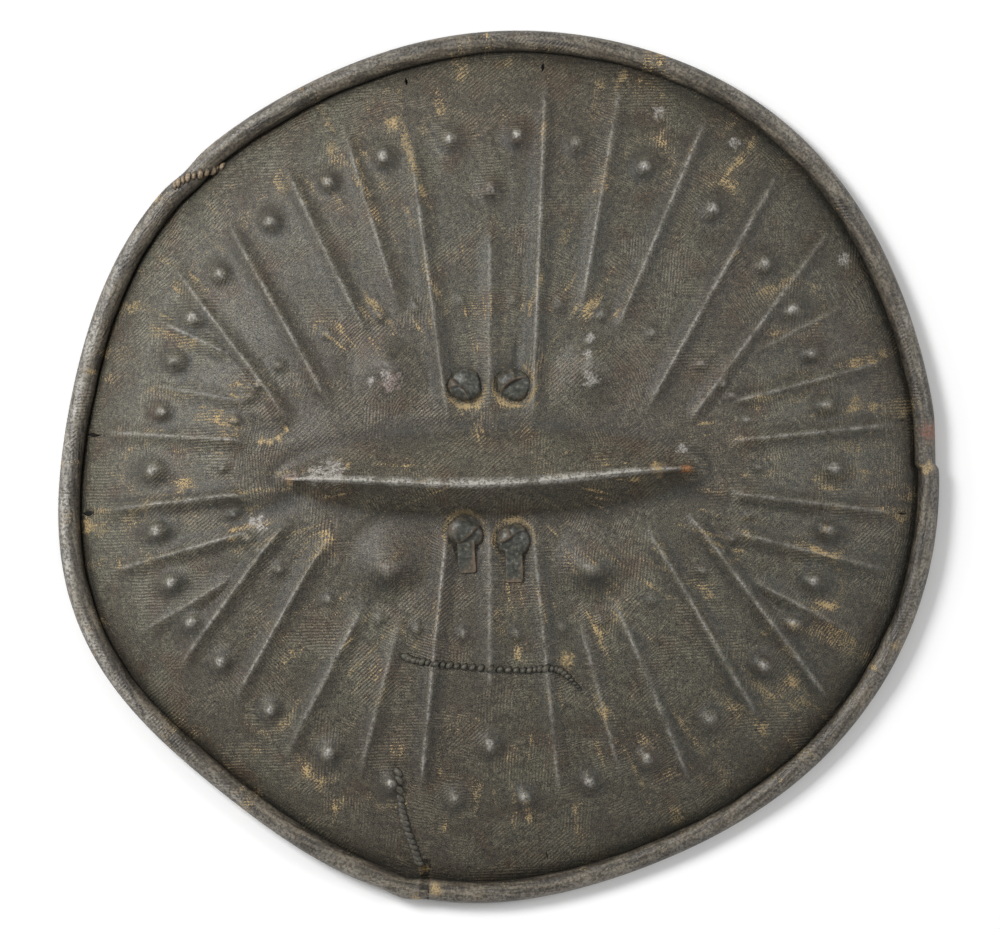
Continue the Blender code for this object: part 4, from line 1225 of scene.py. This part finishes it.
def thong_material(name, dark, light):
    """Dry twisted thong, with painted shade low between the stitches and painted light on their tops."""
    made, tree, shader, place = new_material(name)
    top = mask(tree, "top")
    skin = cloud(tree, place, 700, 3, 0.6)
    colour = mixed(tree, between(tree, skin, 0.35, 0.65), dark, light)
    # Painted light on the stitches' tops and painted shade low between them
    colour = shaded(tree, colour, between(tree, top, 0.15, 0.85, 0.3, 1.25))
    set_finish(tree, shader, colour, between(tree, skin, 0.3, 0.7, 0.7, 0.45), skin, 0.7, 0.0003)
    return made


dark_thong = thong_material("darkened thong", (0.036, 0.033, 0.024, 1), (0.082, 0.074, 0.054, 1))
tan_thong = thong_material("tan thong", (0.11, 0.075, 0.045, 1), (0.26, 0.2, 0.13, 1))
for node, values in LACINGS.items():
    lacing = lacing_piece(node.replace("lacing", "stitches"), *values)
    lacing.data.materials.append(tan_thong if node == "lacing_rim" else dark_thong)
    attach(lacing, "root")
    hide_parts(node)

# The floor, lights and camera. The camera looks straight down on the shield as it lies,
# which is the photograph's view from the front, with the shield's top at the upper edge.
floor_shape = bmesh.new()
bmesh.ops.create_grid(floor_shape, x_segments=1, y_segments=1, size=6)
floor = new_piece("floor", floor_shape)
floor_finish, _, floor_shader, _ = new_material("pale floor")
floor_shader.inputs["Base Color"].default_value = (0.86, 0.86, 0.86, 1)
floor_shader.inputs["Roughness"].default_value = 0.9
floor.data.materials.append(floor_finish)

world = bpy.data.worlds.new("studio")
world.use_nodes = True
world.node_tree.nodes["Background"].inputs["Color"].default_value = (1, 1, 1, 1)
world.node_tree.nodes["Background"].inputs["Strength"].default_value = 0.42
bpy.context.scene.world = world


def softbox(name, place, size, power):
    light = bpy.data.lights.new(name, "AREA")
    light.size = size
    light.energy = power
    lamp = bpy.data.objects.new(name, light)
    lamp.location = place
    lamp.rotation_euler = (-Vector(place)).to_track_quat("-Z", "Y").to_euler()
    lamp.visible_camera = False
    bpy.context.scene.collection.objects.link(lamp)


softbox("key", (-1.7, 1.2, 2.3), 1.0, 80)
softbox("left", (-2.4, 0.1, 1.2), 1.0, 20)
softbox("right", (2.3, 0.3, 1.8), 1.0, 26)

PIXEL = 0.5981 / 881
IMAGE = (1000, 929)
PATTERN_PIXEL = (490, 467)
CAMERA_HEIGHT = 6.0
RIM_HEIGHT = 0.008
SENSOR = 36
lens_data = bpy.data.cameras.new("camera")
lens_data.sensor_width = SENSOR
lens_data.lens = SENSOR * (CAMERA_HEIGHT - RIM_HEIGHT) / (PIXEL * IMAGE[0])
lens_data.clip_end = 50
camera = bpy.data.objects.new("camera", lens_data)
camera.location = (
    MIDDLE.x + (IMAGE[0] / 2 - PATTERN_PIXEL[0]) * PIXEL,
    MIDDLE.y + (PATTERN_PIXEL[1] - IMAGE[1] / 2) * PIXEL,
    CAMERA_HEIGHT,
)
bpy.context.scene.collection.objects.link(camera)
bpy.context.scene.camera = camera
bpy.context.scene.view_settings.view_transform = "Standard"
